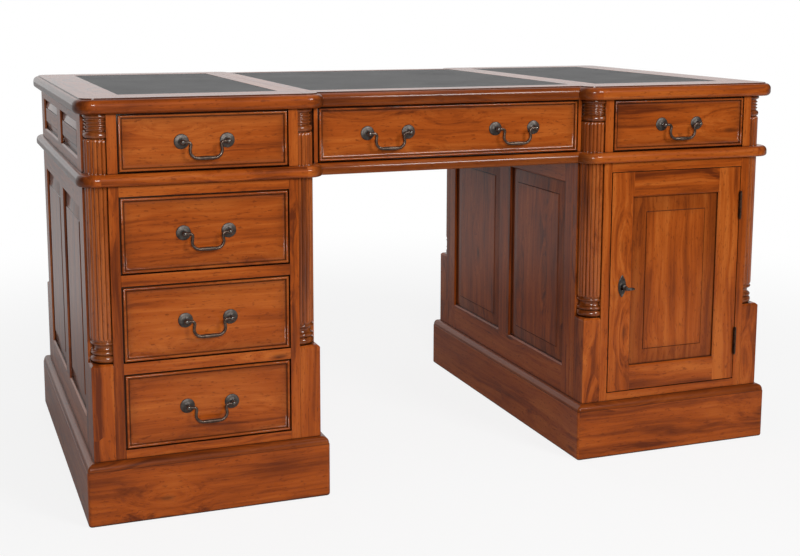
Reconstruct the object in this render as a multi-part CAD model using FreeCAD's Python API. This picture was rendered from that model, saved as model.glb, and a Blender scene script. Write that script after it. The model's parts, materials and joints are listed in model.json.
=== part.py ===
import FreeCAD, Part
import math
import os

V = FreeCAD.Vector

# A free-standing pedestal desk: two pedestals, a frieze with three drawers and a leather-lined top.
# Millimetres. X runs to the right, Y to the back and Z up. Moving pieces stand as they rest, closed.

# Overall outline
desk_width = 1460.0
desk_depth = 800.0
desk_height = 780.0
kneehole_share = 540.0 / 1460.0
centre_setback = 30.0

# Top board and waist board
top_thickness = 28.0
top_upper_round = 12.0
top_lower_round = 9.0
waist_thickness = 22.0
waist_inset = 2.0
waist_upper_round = 11.0
waist_lower_round = 6.0
corner_round = 36.0
corner_flats = 3
frieze_height = 107.0

# Leather on the writing surface
leather_depth = 2.0
leather_thickness = 1.6
leather_fit = 0.15
leather_end_border = 88.0
leather_inner_border = 72.0
centre_leather_lap = 8.0
leather_front_border = 92.0
leather_rear_border = 72.0

# Plinth
plinth_height = 118.0
plinth_moulding = 13.0
plinth_thickness = 30.0
body_inset = 15.0

# Corner posts and the turned, reeded columns set into their notches
post_size = 58.0
post_notch = 40.0
column_inset = 34.0
column_radius = 31.0
reed_count = 22
reed_depth = 2.6
reed_profile = [(0.0, 1.0), (0.28, 0.15), (0.72, 0.15)]
turning_sides = 16
turning_step = 5.0
block_height = 181.0
block_chamfer = 4.0
column_base = [
    ("bead", 15.0, 23.0),
    ("bead", 8.0, 25.5),
    ("cove", 11.0, 27.0),
    ("bead", 6.0, 27.0),
    ("band", 2.0, 28.0),
]
column_capital = [
    ("bead", 13.0, 24.5),
    ("bead", 5.0, 26.0),
    ("bead", 5.0, 26.0),
    ("bead", 5.0, 26.0),
    ("cove", 7.0, 28.0),
    ("bead", 10.0, 26.0),
]

# Frame-and-panel work
frame_thickness = 22.0
side_stile = 37.0
side_muntin = 60.0
side_top_rail = 50.0
side_bottom_rail = 62.0
frieze_frame_rail = 22.0
panel_groove = 8.0
panel_tongue = 6.0
panel_edge_depth = 9.0
panel_bevel_rise = 5.0
panel_field_step = 2.0
panel_bevel = 28.0
frieze_panel_bevel = 15.0
frame_splay = 3.0

# Rails across the front
front_rail_thickness = 22.0
bottom_rail = 17.0
drawer_rail = 21.0
top_rail = 20.0
centre_stile = 7.5

# Drawers
drawer_count = 3
front_thickness = 20.0
front_proud = 2.0
front_gap = 1.2
front_bead = 6.5
front_cove = 8.0
front_field_depth = 5.0
front_round = 2.6
box_depth = 500.0
box_side = 12.0
box_bottom = 6.0
box_bottom_lift = 8.0
box_side_gap = 1.5
slide_gap = 0.3
pedestal_box_headroom = 32.0
frieze_box_headroom = 23.0
runner_height = 16.0
runner_ledge = 16.0
guide_height = 18.0

# Swan-neck handles
handle_centres = 84.0
centre_handle_spread = 0.4865
rosette_profile = [(0.0, 12.5), (1.4, 12.5), (3.4, 5.0)]
rosette_sides = 12
stem_radius = 3.0
ball_radius = 4.8
ball_profile = [(-4.2, stem_radius), (-2.2, ball_radius), (2.2, ball_radius), (4.2, 2.6)]
ball_sides = 8
pivot_reach = 15.0
pin_radius = 1.5
pin_clearance = 0.06
pin_depth = 3.4
pin_end_gap = 0.4
pin_shoulder = 0.4
bail_gap = 0.5
bail_radius = 2.0
bail_neck = 14.5
bail_belly = 11.5
bail_drop = 29.5
neck_round = 3.2
belly_round = 12.0
grip_length = 33.0
grip_swell = 0.9
grip_fullness = 0.75
bail_sides = 8
bend_steps = 2

# Cupboard door, its hinges, lock and key
door_hinge_gap = 1.0
door_lock_gap = 2.5
door_gap = 1.5
door_sink = 1.0
door_stile = 52.0
door_rail = 53.0
door_panel_bevel = 31.0
hinge_length = 56.0
hinge_leaf = 1.4
hinge_leaf_width = 26.0
hinge_barrel = 3.4
hinge_proud = 4.0
hinge_pin = 1.6
hinge_pin_clearance = 0.06
hinge_joint_gap = 0.3
hinge_from_top = 82.0
hinge_from_bottom = 84.0
lock_from_edge = 28.0
lock_above_door = 226.0
escutcheon_height = 48.0
escutcheon_width = 19.0
escutcheon_thickness = 1.8
key_radius = 3.0
key_clearance = 0.3
key_hole_play = 2.0
key_shank = 20.0
key_bow_length = 17.0
key_bow_width = 26.0
key_bow_bar = 4.5
key_bow_thickness = 3.4
bow_sides = 12
key_collar_radius = 4.5
key_collar_length = 3.4
key_bit = 8.0
key_bit_width = 5.0
lock_edge_gap = 3.0
lock_width = 56.0
lock_height = 52.0
lock_depth = 13.0
lock_wall = 1.5
bolt_height = 10.0
bolt_thickness = 6.0
bolt_length = 34.0
bolt_throw = 11.0
bolt_fit = 0.3
bolt_above_key = 10.0
strike_play = 1.0

# Inside the pedestals
shelf_thickness = 18.0
shelf_above_floor = 226.0
shelf_front_gap = 8.0
shelf_rear_gap = 2.0
batten_width = 18.0

# Places that follow from the sizes above
plinth_gap = desk_width * kneehole_share
plinth_width = (desk_width - plinth_gap) / 2
body_outer = desk_width / 2 - body_inset
body_inner = plinth_gap / 2 + body_inset
body_width = body_outer - body_inner
body_front = -desk_depth / 2 + body_inset
body_rear = desk_depth / 2 - body_inset
body_depth = body_rear - body_front
centre_front = body_front + centre_setback
centre_rear = body_rear - centre_setback
top_under = desk_height - top_thickness
waist_top = top_under - frieze_height
waist_under = waist_top - waist_thickness
body_height = waist_under - plinth_height
column_foot = plinth_height + block_height
opening_width = body_width - 2 * post_size
opening_height = (body_height - bottom_rail - top_rail - (drawer_count - 1) * drawer_rail) / drawer_count
opening_pitch = opening_height + drawer_rail
opening_bottom = plinth_height + bottom_rail
door_opening_top = waist_under - top_rail
centre_opening = 2 * (body_inner - centre_stile)
left_centre = -(body_inner + body_outer) / 2
right_centre = -left_centre
wall_inner = body_inner + frame_thickness
wall_outer = body_outer - frame_thickness
side_run = body_depth - 2 * post_size
side_front = body_front + post_size
side_rear = body_rear - post_size
door_face = body_front + door_sink
door_back = door_face + frame_thickness
door_left = right_centre - opening_width / 2 + door_lock_gap
door_right = right_centre + opening_width / 2 - door_hinge_gap
door_bottom = opening_bottom + door_gap
door_top = door_opening_top - door_gap
hinge_x = door_right + door_hinge_gap / 2
hinge_y = body_front - hinge_proud
lock_x = door_left + lock_from_edge
lock_z = door_bottom + lock_above_door
key_tip = door_face - escutcheon_thickness - key_shank - key_bow_length
origin_shift = (-desk_depth / 2 - key_tip) / 2


def box(x0, x1, y0, y1, z0, z1):
    return Part.makeBox(x1 - x0, y1 - y0, z1 - z0, V(x0, y0, z0))


def placed(shape, x, y, z, turn=0.0):
    """Copy turned about Z, then moved."""
    copy = shape.copy()
    copy.rotate(V(0, 0, 0), V(0, 0, 1), turn)
    copy.translate(V(x, y, z))
    return copy


def merged(shapes):
    """One solid from shapes that touch or overlap."""
    return shapes[0].fuse(shapes[1:]).removeSplitter().Solids[0]


def flat_faced(sections):
    """Solid with flat sides through polygons that have the same number of corners."""
    faces = [Part.Face(Part.makePolygon(s + s[:1])) for s in (sections[0], sections[-1])]
    for near, far in zip(sections, sections[1:]):
        for i in range(len(near)):
            corners = [near[i - 1], near[i], far[i], far[i - 1], near[i - 1]]
            faces.append(Part.Face(Part.makePolygon(corners)))
    shell = Part.makeShell(faces)
    shell.sewShape()
    solid = Part.Solid(shell)
    return solid if solid.Volume > 0 else solid.reversed()


def ring(radius, z, sides, first=0.0):
    """Corners of a regular polygon about Z."""
    angles = [first + 2 * math.pi * i / sides for i in range(sides)]
    return [V(radius * math.cos(a), radius * math.sin(a), z) for a in angles]


def rectangle(x0, x1, z0, z1, y):
    return [V(x0, y, z0), V(x1, y, z0), V(x1, y, z1), V(x0, y, z1)]


def frustum(x0, x1, z0, z1, y, inset, depth):
    """Rectangle at y drawn in by inset over depth, for bevels and splayed edges."""
    near = rectangle(x0, x1, z0, z1, y)
    far = rectangle(x0 + inset, x1 - inset, z0 + inset, z1 - inset, y + depth)
    return flat_faced([near, far])


def edges_at(shape, axis, value):
    """Edges whose whole length lies at one value of x, y or z."""
    return [e for e in shape.Edges if all(abs(getattr(v.Point, axis) - value) < 1e-4 for v in e.Vertexes)]


def rounded_outline(x0, x1, y0, y1, z):
    """Rectangle with its corners rounded in short flats."""
    r = corner_round
    centres = [(x1 - r, y1 - r), (x0 + r, y1 - r), (x0 + r, y0 + r), (x1 - r, y0 + r)]
    corners = []
    for quarter, (x, y) in enumerate(centres):
        for i in range(corner_flats + 1):
            angle = (quarter + i / corner_flats) * math.pi / 2
            corners.append(V(x + r * math.cos(angle), y + r * math.sin(angle), z))
    return corners


def turned(stack, z):
    """Turning about Z from a list of (kind, height, radius), upwards from z, with its rounds in short flats."""
    profile = []
    for kind, height, radius in stack:
        bulge = {"bead": height / 2, "cove": -height / 3, "band": 0.0}[kind]
        steps = max(2, round(height / turning_step)) if bulge else 1
        for i in range(steps + 1):
            angle = math.pi * i / steps
            point = (z + height * (1 - math.cos(angle)) / 2, radius + bulge * math.sin(angle))
            if not profile or math.dist(point, profile[-1]) > 1e-6:
                profile.append(point)
        z += height
    return flat_faced([ring(radius, level, turning_sides) for level, radius in profile])


def rounded_line(points, radii):
    """Points of a bent line, with the bend at each inner point rounded in short straight steps."""
    line = [points[0]]
    for before, corner, after, radius in zip(points, points[1:], points[2:], radii):
        back = (before - corner).normalize()
        ahead = (after - corner).normalize()
        half = math.acos(back.dot(ahead)) / 2
        centre = corner + (back + ahead).normalize() * (radius / math.sin(half))
        start = corner + back * (radius / math.tan(half)) - centre
        end = corner + ahead * (radius / math.tan(half)) - centre
        turn = math.pi - 2 * half
        for i in range(bend_steps + 1):
            angle = turn * i / bend_steps
            spoke = start * math.sin(turn - angle) + end * math.sin(angle)
            line.append(centre + spoke * (1 / math.sin(turn)))
    return line + [points[-1]]


def tube(points, radii, sides):
    """Flat-sided tube along a line at one Y, mitred at its bends, with a radius at each point."""
    angles = [2 * math.pi * (i + 0.5) / sides for i in range(sides)]
    sections = []
    for i, point in enumerate(points):
        ahead = points[min(i + 1, len(points) - 1)] - point
        back = point - points[max(i - 1, 0)]
        ahead = (ahead if ahead.Length else back).normalize()
        back = (back if back.Length else ahead).normalize()
        along = (back + ahead).normalize()
        across = V(0, 1, 0).cross(along) * (1 / along.dot(ahead))
        rim = [across * math.cos(a) + V(0, math.sin(a), 0) for a in angles]
        sections.append([point + spoke * radii[i] for spoke in rim])
    return flat_faced(sections)


def nosed_slab(x0, x1, y0, y1, z0, z1, upper, lower):
    """Board with rounded corners in plan and a rounded nose all round."""
    corners = rounded_outline(x0, x1, y0, y1, z0)
    slab = Part.Face(Part.makePolygon(corners + corners[:1])).extrude(V(0, 0, z1 - z0))
    slab = slab.makeFillet(upper, edges_at(slab, "z", z1))
    return slab.makeFillet(lower, edges_at(slab, "z", z0))


def nosed_plank(x0, x1, y0, y1, z0, z1, upper, lower):
    """Board with the same nose along its front and back only."""
    plank = box(x0, x1, y0, y1, z0, z1)
    for y in (y0, y1):
        long_edges = edges_at(plank, "y", y)
        plank = plank.makeFillet(upper, edges_at(Part.Compound(long_edges), "z", z1))
        long_edges = edges_at(plank, "y", y)
        plank = plank.makeFillet(lower, edges_at(Part.Compound(long_edges), "z", z0))
    return plank


def breakfront_board(inset, z0, z1, upper, lower):
    """Board over the whole desk, with the middle set back at the front and the rear."""
    half_width = desk_width / 2 - inset
    half_depth = desk_depth / 2 - inset
    inner = plinth_gap / 2 + inset
    lap = inner + corner_round + upper
    left = nosed_slab(-half_width, -inner, -half_depth, half_depth, z0, z1, upper, lower)
    right = nosed_slab(inner, half_width, -half_depth, half_depth, z0, z1, upper, lower)
    depth = half_depth - centre_setback
    middle = nosed_plank(-lap, lap, -depth, depth, z0, z1, upper, lower)
    return merged([middle, left, right])


def leather_outlines():
    """Name, low x and high x of each leather."""
    outer = desk_width / 2 - leather_end_border
    inner = plinth_gap / 2 + leather_inner_border
    half = plinth_gap / 2 + centre_leather_lap
    return [("left", -outer, -inner), ("centre", -half, half), ("right", inner, outer)]


def top_and_leathers():
    board = breakfront_board(0.0, top_under, desk_height, top_upper_round, top_lower_round)
    front = -desk_depth / 2 + leather_front_border
    rear = desk_depth / 2 - leather_rear_border
    floor = desk_height - leather_depth
    parts = {}
    for name, x0, x1 in leather_outlines():
        board = board.cut(box(x0, x1, front, rear, floor, desk_height + leather_depth))
        parts["leather_" + name] = [
            box(x0 + leather_fit, x1 - leather_fit, front + leather_fit, rear - leather_fit,
                floor, floor + leather_thickness)
        ]
    parts["top_board"] = board.Solids
    return parts


def plinth_board(length):
    """Base board with an ovolo along its top and mitred ends, its face along Y = 0."""
    flat = plinth_height - plinth_moulding
    crown = V(0, plinth_moulding * (1 - math.sqrt(0.5)), flat + plinth_moulding * math.sqrt(0.5))
    corners = [V(0, plinth_moulding, plinth_height), V(0, plinth_thickness, plinth_height),
               V(0, plinth_thickness, 0), V(0, 0, 0), V(0, 0, flat)]
    outline = Part.makePolygon(corners).Edges
    outline.append(Part.Arc(V(0, 0, flat), crown, corners[0]).toShape())
    board = Part.Face(Part.Wire(outline)).extrude(V(length, 0, 0))
    inner = plinth_thickness
    mitre = [V(0, 0, 0), V(length, 0, 0), V(length - inner, inner, 0), V(inner, inner, 0), V(0, 0, 0)]
    return board.common(Part.Face(Part.makePolygon(mitre)).extrude(V(0, 0, plinth_height))).Solids[0]


def plinth(centre):
    x0 = centre - plinth_width / 2
    x1 = centre + plinth_width / 2
    y1 = desk_depth / 2
    across = plinth_board(plinth_width)
    along = plinth_board(desk_depth)
    return [placed(across, x0, -y1, 0), placed(along, x1, -y1, 0, 90),
            placed(across, x1, y1, 0, 180), placed(along, x0, y1, 0, 270)]


def at_corners(shape, centre):
    """Copies of a piece drawn in the front left corner, one in each corner of a section."""
    x0 = centre - body_width / 2
    x1 = centre + body_width / 2
    return [placed(shape, x0, body_front, 0, 0), placed(shape, x1, body_front, 0, 90),
            placed(shape, x1, body_rear, 0, 180), placed(shape, x0, body_rear, 0, 270)]


def corner_post(z0, z1):
    whole = box(0, post_size, 0, post_size, z0, z1)
    return whole.cut(box(0, post_notch, 0, post_notch, z0, z1)).Solids[0]


def corner_block():
    block = box(0, post_notch, 0, post_notch, plinth_height, column_foot)
    rim = [e for e in edges_at(block, "z", column_foot) if min(e.CenterOfMass.x, e.CenterOfMass.y) < 1e-4]
    return block.makeChamfer(block_chamfer, rim)


def reeded_shaft(z0, z1):
    """Round shaft of convex reeds about Z, one of them facing the desk's corner."""
    step = 2 * math.pi / reed_count
    first = math.radians(225) - step / 2
    corners = []
    for i in range(reed_count):
        for share, sunk in reed_profile:
            reach = column_radius - reed_depth * sunk
            angle = first + (i + share) * step
            corners.append(V(reach * math.cos(angle), reach * math.sin(angle), z0))
    return Part.Face(Part.makePolygon(corners + corners[:1])).extrude(V(0, 0, z1 - z0))


def fitted_column(pieces):
    """Turned pieces moved to the column's axis, with flats planed to sit in the post's notch."""
    column = placed(merged(pieces), column_inset, column_inset, 0)
    limits = column.BoundBox
    return column.common(box(0, post_notch, 0, post_notch, limits.ZMin, limits.ZMax)).Solids[0]


def stack_height(stack):
    return sum(height for _, height, _ in stack)


def pedestal_column():
    shaft_foot = column_foot + stack_height(column_base)
    return fitted_column([turned(column_base, column_foot), reeded_shaft(shaft_foot, waist_under)])


def frieze_column():
    shaft_head = top_under - stack_height(column_capital)
    return fitted_column([reeded_shaft(waist_top, shaft_head), turned(column_capital, shaft_head)])


def raised_panel(x0, x1, z0, z1, bevel):
    """Fielded panel with a tongue for the frame's groove, its face towards -Y and the frame's face at Y = 0."""
    edge = panel_edge_depth
    foot = edge - panel_bevel_rise
    lip = bevel + panel_field_step
    slab = box(x0 - panel_groove, x1 + panel_groove, edge, edge + panel_tongue,
               z0 - panel_groove, z1 + panel_groove)
    slope = frustum(x0, x1, z0, z1, edge, bevel, -panel_bevel_rise)
    field = box(x0 + lip, x1 - lip, foot - panel_field_step, foot, z0 + lip, z1 - lip)
    return merged([slab, slope, field])


def framed_panels(width, height, stile, upper_rail, lower_rail, muntin, count, bevel):
    """Stiles, rails and muntins round raised panels, drawn from the origin with the face at Y = 0."""
    thick = frame_thickness
    clear_height = height - upper_rail - lower_rail
    clear_width = (width - 2 * stile - (count - 1) * muntin) / count
    z0 = lower_rail
    z1 = lower_rail + clear_height
    boards = [
        box(0, stile, 0, thick, 0, height),
        box(width - stile, width, 0, thick, 0, height),
        box(stile, width - stile, 0, thick, 0, z0),
        box(stile, width - stile, 0, thick, z1, height),
    ]
    starts = [stile + i * (clear_width + muntin) for i in range(count)]
    boards += [box(x - muntin, x, 0, thick, z0, z1) for x in starts[1:]]
    panels = []
    for x in starts:
        end = x + clear_width
        panels.append(raised_panel(x, end, z0, z1, bevel))
        groove = box(x - panel_groove, end + panel_groove, panel_edge_depth, panel_edge_depth + panel_tongue,
                     z0 - panel_groove, z1 + panel_groove)
        splay = frustum(x - frame_splay, end + frame_splay, z0 - frame_splay, z1 + frame_splay,
                        0, frame_splay, frame_splay)
        boards = [b.cut([groove, splay]).Solids[0] for b in boards]
    return boards, panels


def place_all(shapes, x, y, z, turn):
    return [placed(s, x, y, z, turn) for s in shapes]


def pedestal_walls(centre):
    """Boards and panels of the two sides, then of the back."""
    boards, panels = framed_panels(side_run, body_height, side_stile, side_top_rail, side_bottom_rail,
                                   side_muntin, 2, panel_bevel)
    x0 = centre - body_width / 2
    x1 = centre + body_width / 2
    low = plinth_height
    side_boards = place_all(boards, x0, side_rear, low, 270) + place_all(boards, x1, side_front, low, 90)
    side_panels = place_all(panels, x0, side_rear, low, 270) + place_all(panels, x1, side_front, low, 90)
    boards, panels = framed_panels(opening_width, body_height, side_stile, side_top_rail, side_bottom_rail,
                                   0.0, 1, panel_bevel)
    x = x1 - post_size
    back_boards = place_all(boards, x, body_rear, low, 180)
    back_panels = place_all(panels, x, body_rear, low, 180)
    return side_boards, side_panels, back_boards, back_panels


def frieze_walls():
    """Boards and panels of the two ends, then of the three parts of the back."""
    rail = frieze_frame_rail
    bevel = frieze_panel_bevel
    boards, panels = framed_panels(side_run, frieze_height, side_stile, rail, rail, side_muntin, 2, bevel)
    end_boards = []
    end_panels = []
    for x, y, turn in ((-body_outer, side_rear, 270), (body_outer, side_front, 90)):
        end_boards += place_all(boards, x, y, waist_top, turn)
        end_panels += place_all(panels, x, y, waist_top, turn)
    backs = [
        (opening_width, left_centre + opening_width / 2, body_rear),
        (2 * body_inner, body_inner, centre_rear),
        (opening_width, right_centre + opening_width / 2, body_rear),
    ]
    back_boards = []
    back_panels = []
    for width, x, y in backs:
        boards, panels = framed_panels(width, frieze_height, side_stile, rail, rail, 0.0, 1, bevel)
        back_boards += place_all(boards, x, y, waist_top, 180)
        back_panels += place_all(panels, x, y, waist_top, 180)
    return end_boards, end_panels, back_boards, back_panels


def frieze_partitions():
    """Boards between the frieze drawers, from the front inner posts to the rear ones."""
    wall = box(body_inner, wall_inner, side_front, side_rear, waist_top, top_under)
    return [wall, placed(wall, 0, 0, 0, 180)]


def front_rails():
    """Rails between the posts of both pedestals, and the slim stiles beside the centre drawer."""
    half = opening_width / 2
    back = body_front + front_rail_thickness
    left_spans = [(plinth_height, opening_bottom), (waist_under - top_rail, waist_under)]
    right_spans = list(left_spans)
    for i in range(1, drawer_count):
        rail_top = opening_bottom + i * opening_pitch
        left_spans.append((rail_top - drawer_rail, rail_top))
    rails = [box(left_centre - half, left_centre + half, body_front, back, z0, z1) for z0, z1 in left_spans]
    rails += [box(right_centre - half, right_centre + half, body_front, back, z0, z1) for z0, z1 in right_spans]
    edge = centre_opening / 2
    stile_back = centre_front + front_thickness
    rails += [box(edge, body_inner, centre_front, stile_back, waist_top, top_under),
              box(-body_inner, -edge, centre_front, stile_back, waist_top, top_under)]
    return rails


def drawer_runners():
    """Runners with guides for the pedestal drawers, and plain guides on the floor and the waist board."""
    half = opening_width / 2
    wall = body_width / 2 - frame_thickness
    pieces = []
    for i in range(drawer_count):
        z = opening_bottom + i * opening_pitch
        runner = box(-wall, -half, side_front, side_rear, z, z + guide_height)
        if i > 0:
            ledge = box(-wall, -half + runner_ledge, side_front, side_rear, z - runner_height, z)
            runner = merged([runner, ledge])
        pieces += [placed(runner, left_centre, 0, 0), placed(runner, left_centre, 0, 0, 180)]
    frieze_guide = box(-wall, -half, side_front, side_rear, waist_top, waist_top + guide_height)
    for centre in (left_centre, right_centre):
        pieces += [placed(frieze_guide, centre, 0, 0), placed(frieze_guide, centre, 0, 0, 180)]
    edge = centre_opening / 2
    run_end = centre_rear - frame_thickness
    centre_guide = box(edge, body_inner, centre_front + front_thickness, run_end,
                       waist_top, waist_top + guide_height)
    pieces += [centre_guide, centre_guide.mirror(V(0, 0, 0), V(1, 0, 0))]
    return pieces


def pedestal_floor(centre):
    """Bottom board cut round the posts."""
    half = body_width / 2 - frame_thickness
    front = body_front + front_rail_thickness
    rear = body_rear - frame_thickness
    board = box(centre - half, centre + half, front, rear, plinth_height, opening_bottom)
    posts = at_corners(box(0, post_size, 0, post_size, plinth_height, waist_under), centre)
    return board.cut(posts).Solids[0]


def cupboard_shelf():
    z = opening_bottom + shelf_above_floor
    return box(wall_inner, wall_outer, side_front + shelf_front_gap, side_rear - shelf_rear_gap, z,
               z + shelf_thickness)


def shelf_battens():
    z = opening_bottom + shelf_above_floor
    y0 = side_front + shelf_front_gap + batten_width
    y1 = side_rear - shelf_rear_gap
    return [box(wall_inner, wall_inner + batten_width, y0, y1, z - batten_width, z),
            box(wall_outer - batten_width, wall_outer, y0, y1, z - batten_width, z)]


def moulded_front(width, height):
    """Drawer front with a raised bead round its edge and a cove down to its field, face at Y = 0."""
    half = width / 2
    low = -height / 2
    high = height / 2
    front = box(-half, half, 0, front_thickness, low, high)
    rim = front_bead
    pocket = frustum(-half + rim, half - rim, low + rim, high - rim, 0, front_cove, front_field_depth)
    front = front.cut(pocket)
    return front.makeFillet(front_round, edges_at(front, "y", 0.0)).Solids[0]


def drawer_box(width, height):
    """Sides, back and bottom behind a front, drawn from the box's lower front edge, centred on X."""
    half = width / 2
    inside = half - box_side
    rear = box_depth - box_side
    floor = box_bottom_lift + box_bottom
    return [
        box(-half, -inside, 0, box_depth, 0, height),
        box(inside, half, 0, box_depth, 0, height),
        box(-inside, inside, rear, box_depth, 0, height),
        box(-inside, inside, 0, rear, box_bottom_lift, floor),
    ]


def handle_posts():
    """Domed rosettes with their ball-ended pivots, centred on the handle, seat at Y = 0."""
    rosette = flat_faced([ring(radius, z, rosette_sides) for z, radius in rosette_profile])
    flat = math.pi / ball_sides
    ball = [(z + pivot_reach, radius) for z, radius in ball_profile]
    pivot = flat_faced([ring(radius, z, ball_sides, flat) for z, radius in [(0.0, stem_radius)] + ball])
    post = merged([rosette, pivot])
    post.rotate(V(0, 0, 0), V(1, 0, 0), 90)
    pieces = []
    for side in (-1, 1):
        one = placed(post, side * handle_centres / 2, 0, 0)
        hole_end = V(side * (handle_centres / 2 - ball_radius + pin_depth), -pivot_reach, 0)
        hole = Part.makeCylinder(pin_radius + pin_clearance, 2 * ball_radius, hole_end, V(-side, 0, 0))
        pieces.append(one.cut(hole).Solids[0])
    return pieces


def handle_bail():
    """Swan-neck bail with a swelling grip, hanging from its two pins, pivots at Y = -pivot_reach."""
    y = -pivot_reach
    shoulder = handle_centres / 2 - ball_radius - bail_gap
    neck = handle_centres / 2 - bail_neck
    belly = handle_centres / 2 - bail_belly
    grip_end = V(-grip_length / 2, y, -bail_drop)
    bends = [V(-shoulder + pin_shoulder, y, 0), V(-neck, y, 0), V(-belly, y, -bail_drop), grip_end]
    line = rounded_line(bends, [neck_round, belly_round])
    pin = [V(-shoulder - bail_gap - pin_depth + pin_end_gap, y, 0), V(-shoulder, y, 0)]
    left = pin + line + [grip_end * 0.5 + V(0, y, -bail_drop) * 0.5]
    radii = [pin_radius] * len(pin) + [bail_radius] * len(line) + [bail_radius + grip_swell * grip_fullness]
    points = left + [V(0, y, -bail_drop)] + [V(-p.x, y, p.z) for p in reversed(left)]
    return tube(points, radii + [bail_radius + grip_swell] + radii[::-1], bail_sides)


def drawer(name, centre, floor, front_low, front_high, width, box_height, face, handle_offsets):
    """Nodes of one drawer: its front, its box, its handle posts and its bails."""
    height = front_high - front_low
    middle = (front_high + front_low) / 2
    front = moulded_front(width, height)
    box_width = width + 2 * front_gap - 2 * box_side_gap
    parts = {}
    parts[name + "_front"] = [placed(front, centre, face, middle)]
    parts[name + "_box"] = place_all(drawer_box(box_width, box_height), centre, face + front_thickness,
                                     floor + slide_gap, 0)
    posts = handle_posts()
    bail = handle_bail()
    seat = face + front_field_depth
    parts[name + "_handle_posts"] = []
    labels = [""] if len(handle_offsets) == 1 else ["_left", "_right"]
    for offset, label in zip(handle_offsets, labels):
        parts[name + "_handle_posts"] += place_all(posts, centre + offset, seat, middle, 0)
        parts[name + "_bail" + label] = [placed(bail, centre + offset, seat, middle)]
    return parts


def frieze_drawers():
    parts = {}
    low = waist_top + front_gap
    high = top_under - front_gap
    width = opening_width - 2 * front_gap
    face = body_front - front_proud
    box_height = frieze_height - frieze_box_headroom
    for name, centre in (("left", left_centre), ("right", right_centre)):
        parts.update(drawer("frieze_drawer_" + name, centre, waist_top, low, high, width, box_height,
                            face, [0.0]))
    width = centre_opening - 2 * front_gap
    offset = centre_opening * centre_handle_spread / 2
    parts.update(drawer("frieze_drawer_centre", 0.0, waist_top, low, high, width, box_height,
                        centre_front - front_proud, [-offset, offset]))
    return parts


def pedestal_drawers():
    parts = {}
    width = opening_width - 2 * front_gap
    face = body_front - front_proud
    box_height = opening_height - pedestal_box_headroom
    for i, name in enumerate(("bottom", "middle", "top")):
        floor = opening_bottom + i * opening_pitch
        low = floor + front_gap
        high = floor + opening_height - front_gap
        parts.update(drawer("pedestal_drawer_" + name, left_centre, floor, low, high, width, box_height,
                            face, [0.0]))
    return parts


def hinge_heights():
    """Lower end of each hinge."""
    return [door_bottom + hinge_from_bottom - hinge_length / 2, door_top - hinge_from_top - hinge_length / 2]


def hinge_plate(x0, z):
    return box(x0, x0 + hinge_leaf, hinge_y, hinge_y + hinge_leaf_width, z, z + hinge_length)


def door_plate_x():
    return door_right - hinge_leaf


def frame_plate_x():
    return door_right + door_hinge_gap


def barrel(z0, z1, radius):
    return Part.makeCylinder(radius, z1 - z0, V(hinge_x, hinge_y, z0))


def butt_hinge(z):
    """Frame leaf with the outer knuckles and the pin, and door leaf with the middle knuckle."""
    third = hinge_length / 3
    low = z + third
    high = z + 2 * third
    top = z + hinge_length
    gap = hinge_joint_gap
    sweep = hinge_barrel + gap
    frame_leaf = hinge_plate(frame_plate_x(), z).cut(barrel(low - gap, high + gap, sweep))
    frame_leaf = merged([frame_leaf, barrel(z, low - gap, hinge_barrel), barrel(high + gap, top, hinge_barrel),
                         barrel(z, top, hinge_pin)])
    door_leaf = hinge_plate(door_plate_x(), z)
    door_leaf = door_leaf.cut([barrel(z - gap, low, sweep), barrel(high, top + gap, sweep)])
    door_leaf = merged([door_leaf, barrel(low, high, hinge_barrel)])
    door_leaf = door_leaf.cut(barrel(z, top, hinge_pin + hinge_pin_clearance)).Solids[0]
    return frame_leaf, door_leaf


def along_y(radius, y0, y1):
    """Round bar on the key's axis."""
    return Part.makeCylinder(radius, y1 - y0, V(lock_x, y0, lock_z), V(0, 1, 0))


def key_slot(y0, y1):
    """Keyhole: a round hole with a slot below it for the bit."""
    half = key_bit_width / 2 + key_clearance
    slot = box(lock_x - half, lock_x + half, y0, y1, lock_z - key_bit - key_clearance, lock_z)
    return merged([along_y(key_radius + key_clearance, y0, y1), slot])


def escutcheon():
    """Pointed oval plate with a keyhole."""
    face = door_face - escutcheon_thickness
    top = V(lock_x, face, lock_z + escutcheon_height / 2)
    bottom = V(lock_x, face, lock_z - escutcheon_height / 2)
    left = V(lock_x - escutcheon_width / 2, face, lock_z)
    right = V(lock_x + escutcheon_width / 2, face, lock_z)
    outline = Part.Wire([Part.Arc(bottom, right, top).toShape(), Part.Arc(top, left, bottom).toShape()])
    plate = Part.Face(outline).extrude(V(0, escutcheon_thickness, 0))
    return plate.cut(key_slot(face - escutcheon_thickness, door_back)).Solids[0]


def bolt_span():
    """Low and high y, then low and high z, of the lock bolt."""
    y = door_back + lock_depth / 2
    z = lock_z + bolt_above_key
    return y - bolt_thickness / 2, y + bolt_thickness / 2, z, z + bolt_height


def lock_bolt():
    y0, y1, z0, z1 = bolt_span()
    x = door_left + lock_edge_gap
    return box(x, x + bolt_length, y0, y1, z0, z1)


def lock_case():
    """Hollow case screwed to the back of the door, open for the key and the bolt."""
    x0 = door_left + lock_edge_gap
    x1 = x0 + lock_width
    z0 = lock_z - lock_height / 2
    z1 = lock_z + lock_height / 2
    y1 = door_back + lock_depth
    w = lock_wall
    case = box(x0, x1, door_back, y1, z0, z1).cut(box(x0 + w, x1 - w, door_back + w, y1 - w, z0 + w, z1 - w))
    by0, by1, bz0, bz1 = bolt_span()
    mouth = box(x0 - w, x0 + 2 * w, by0 - bolt_fit, by1 + bolt_fit, bz0 - bolt_fit, bz1 + bolt_fit)
    return case.cut([mouth, key_slot(door_back - w, door_back + 2 * w)]).Solids[0]


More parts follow.
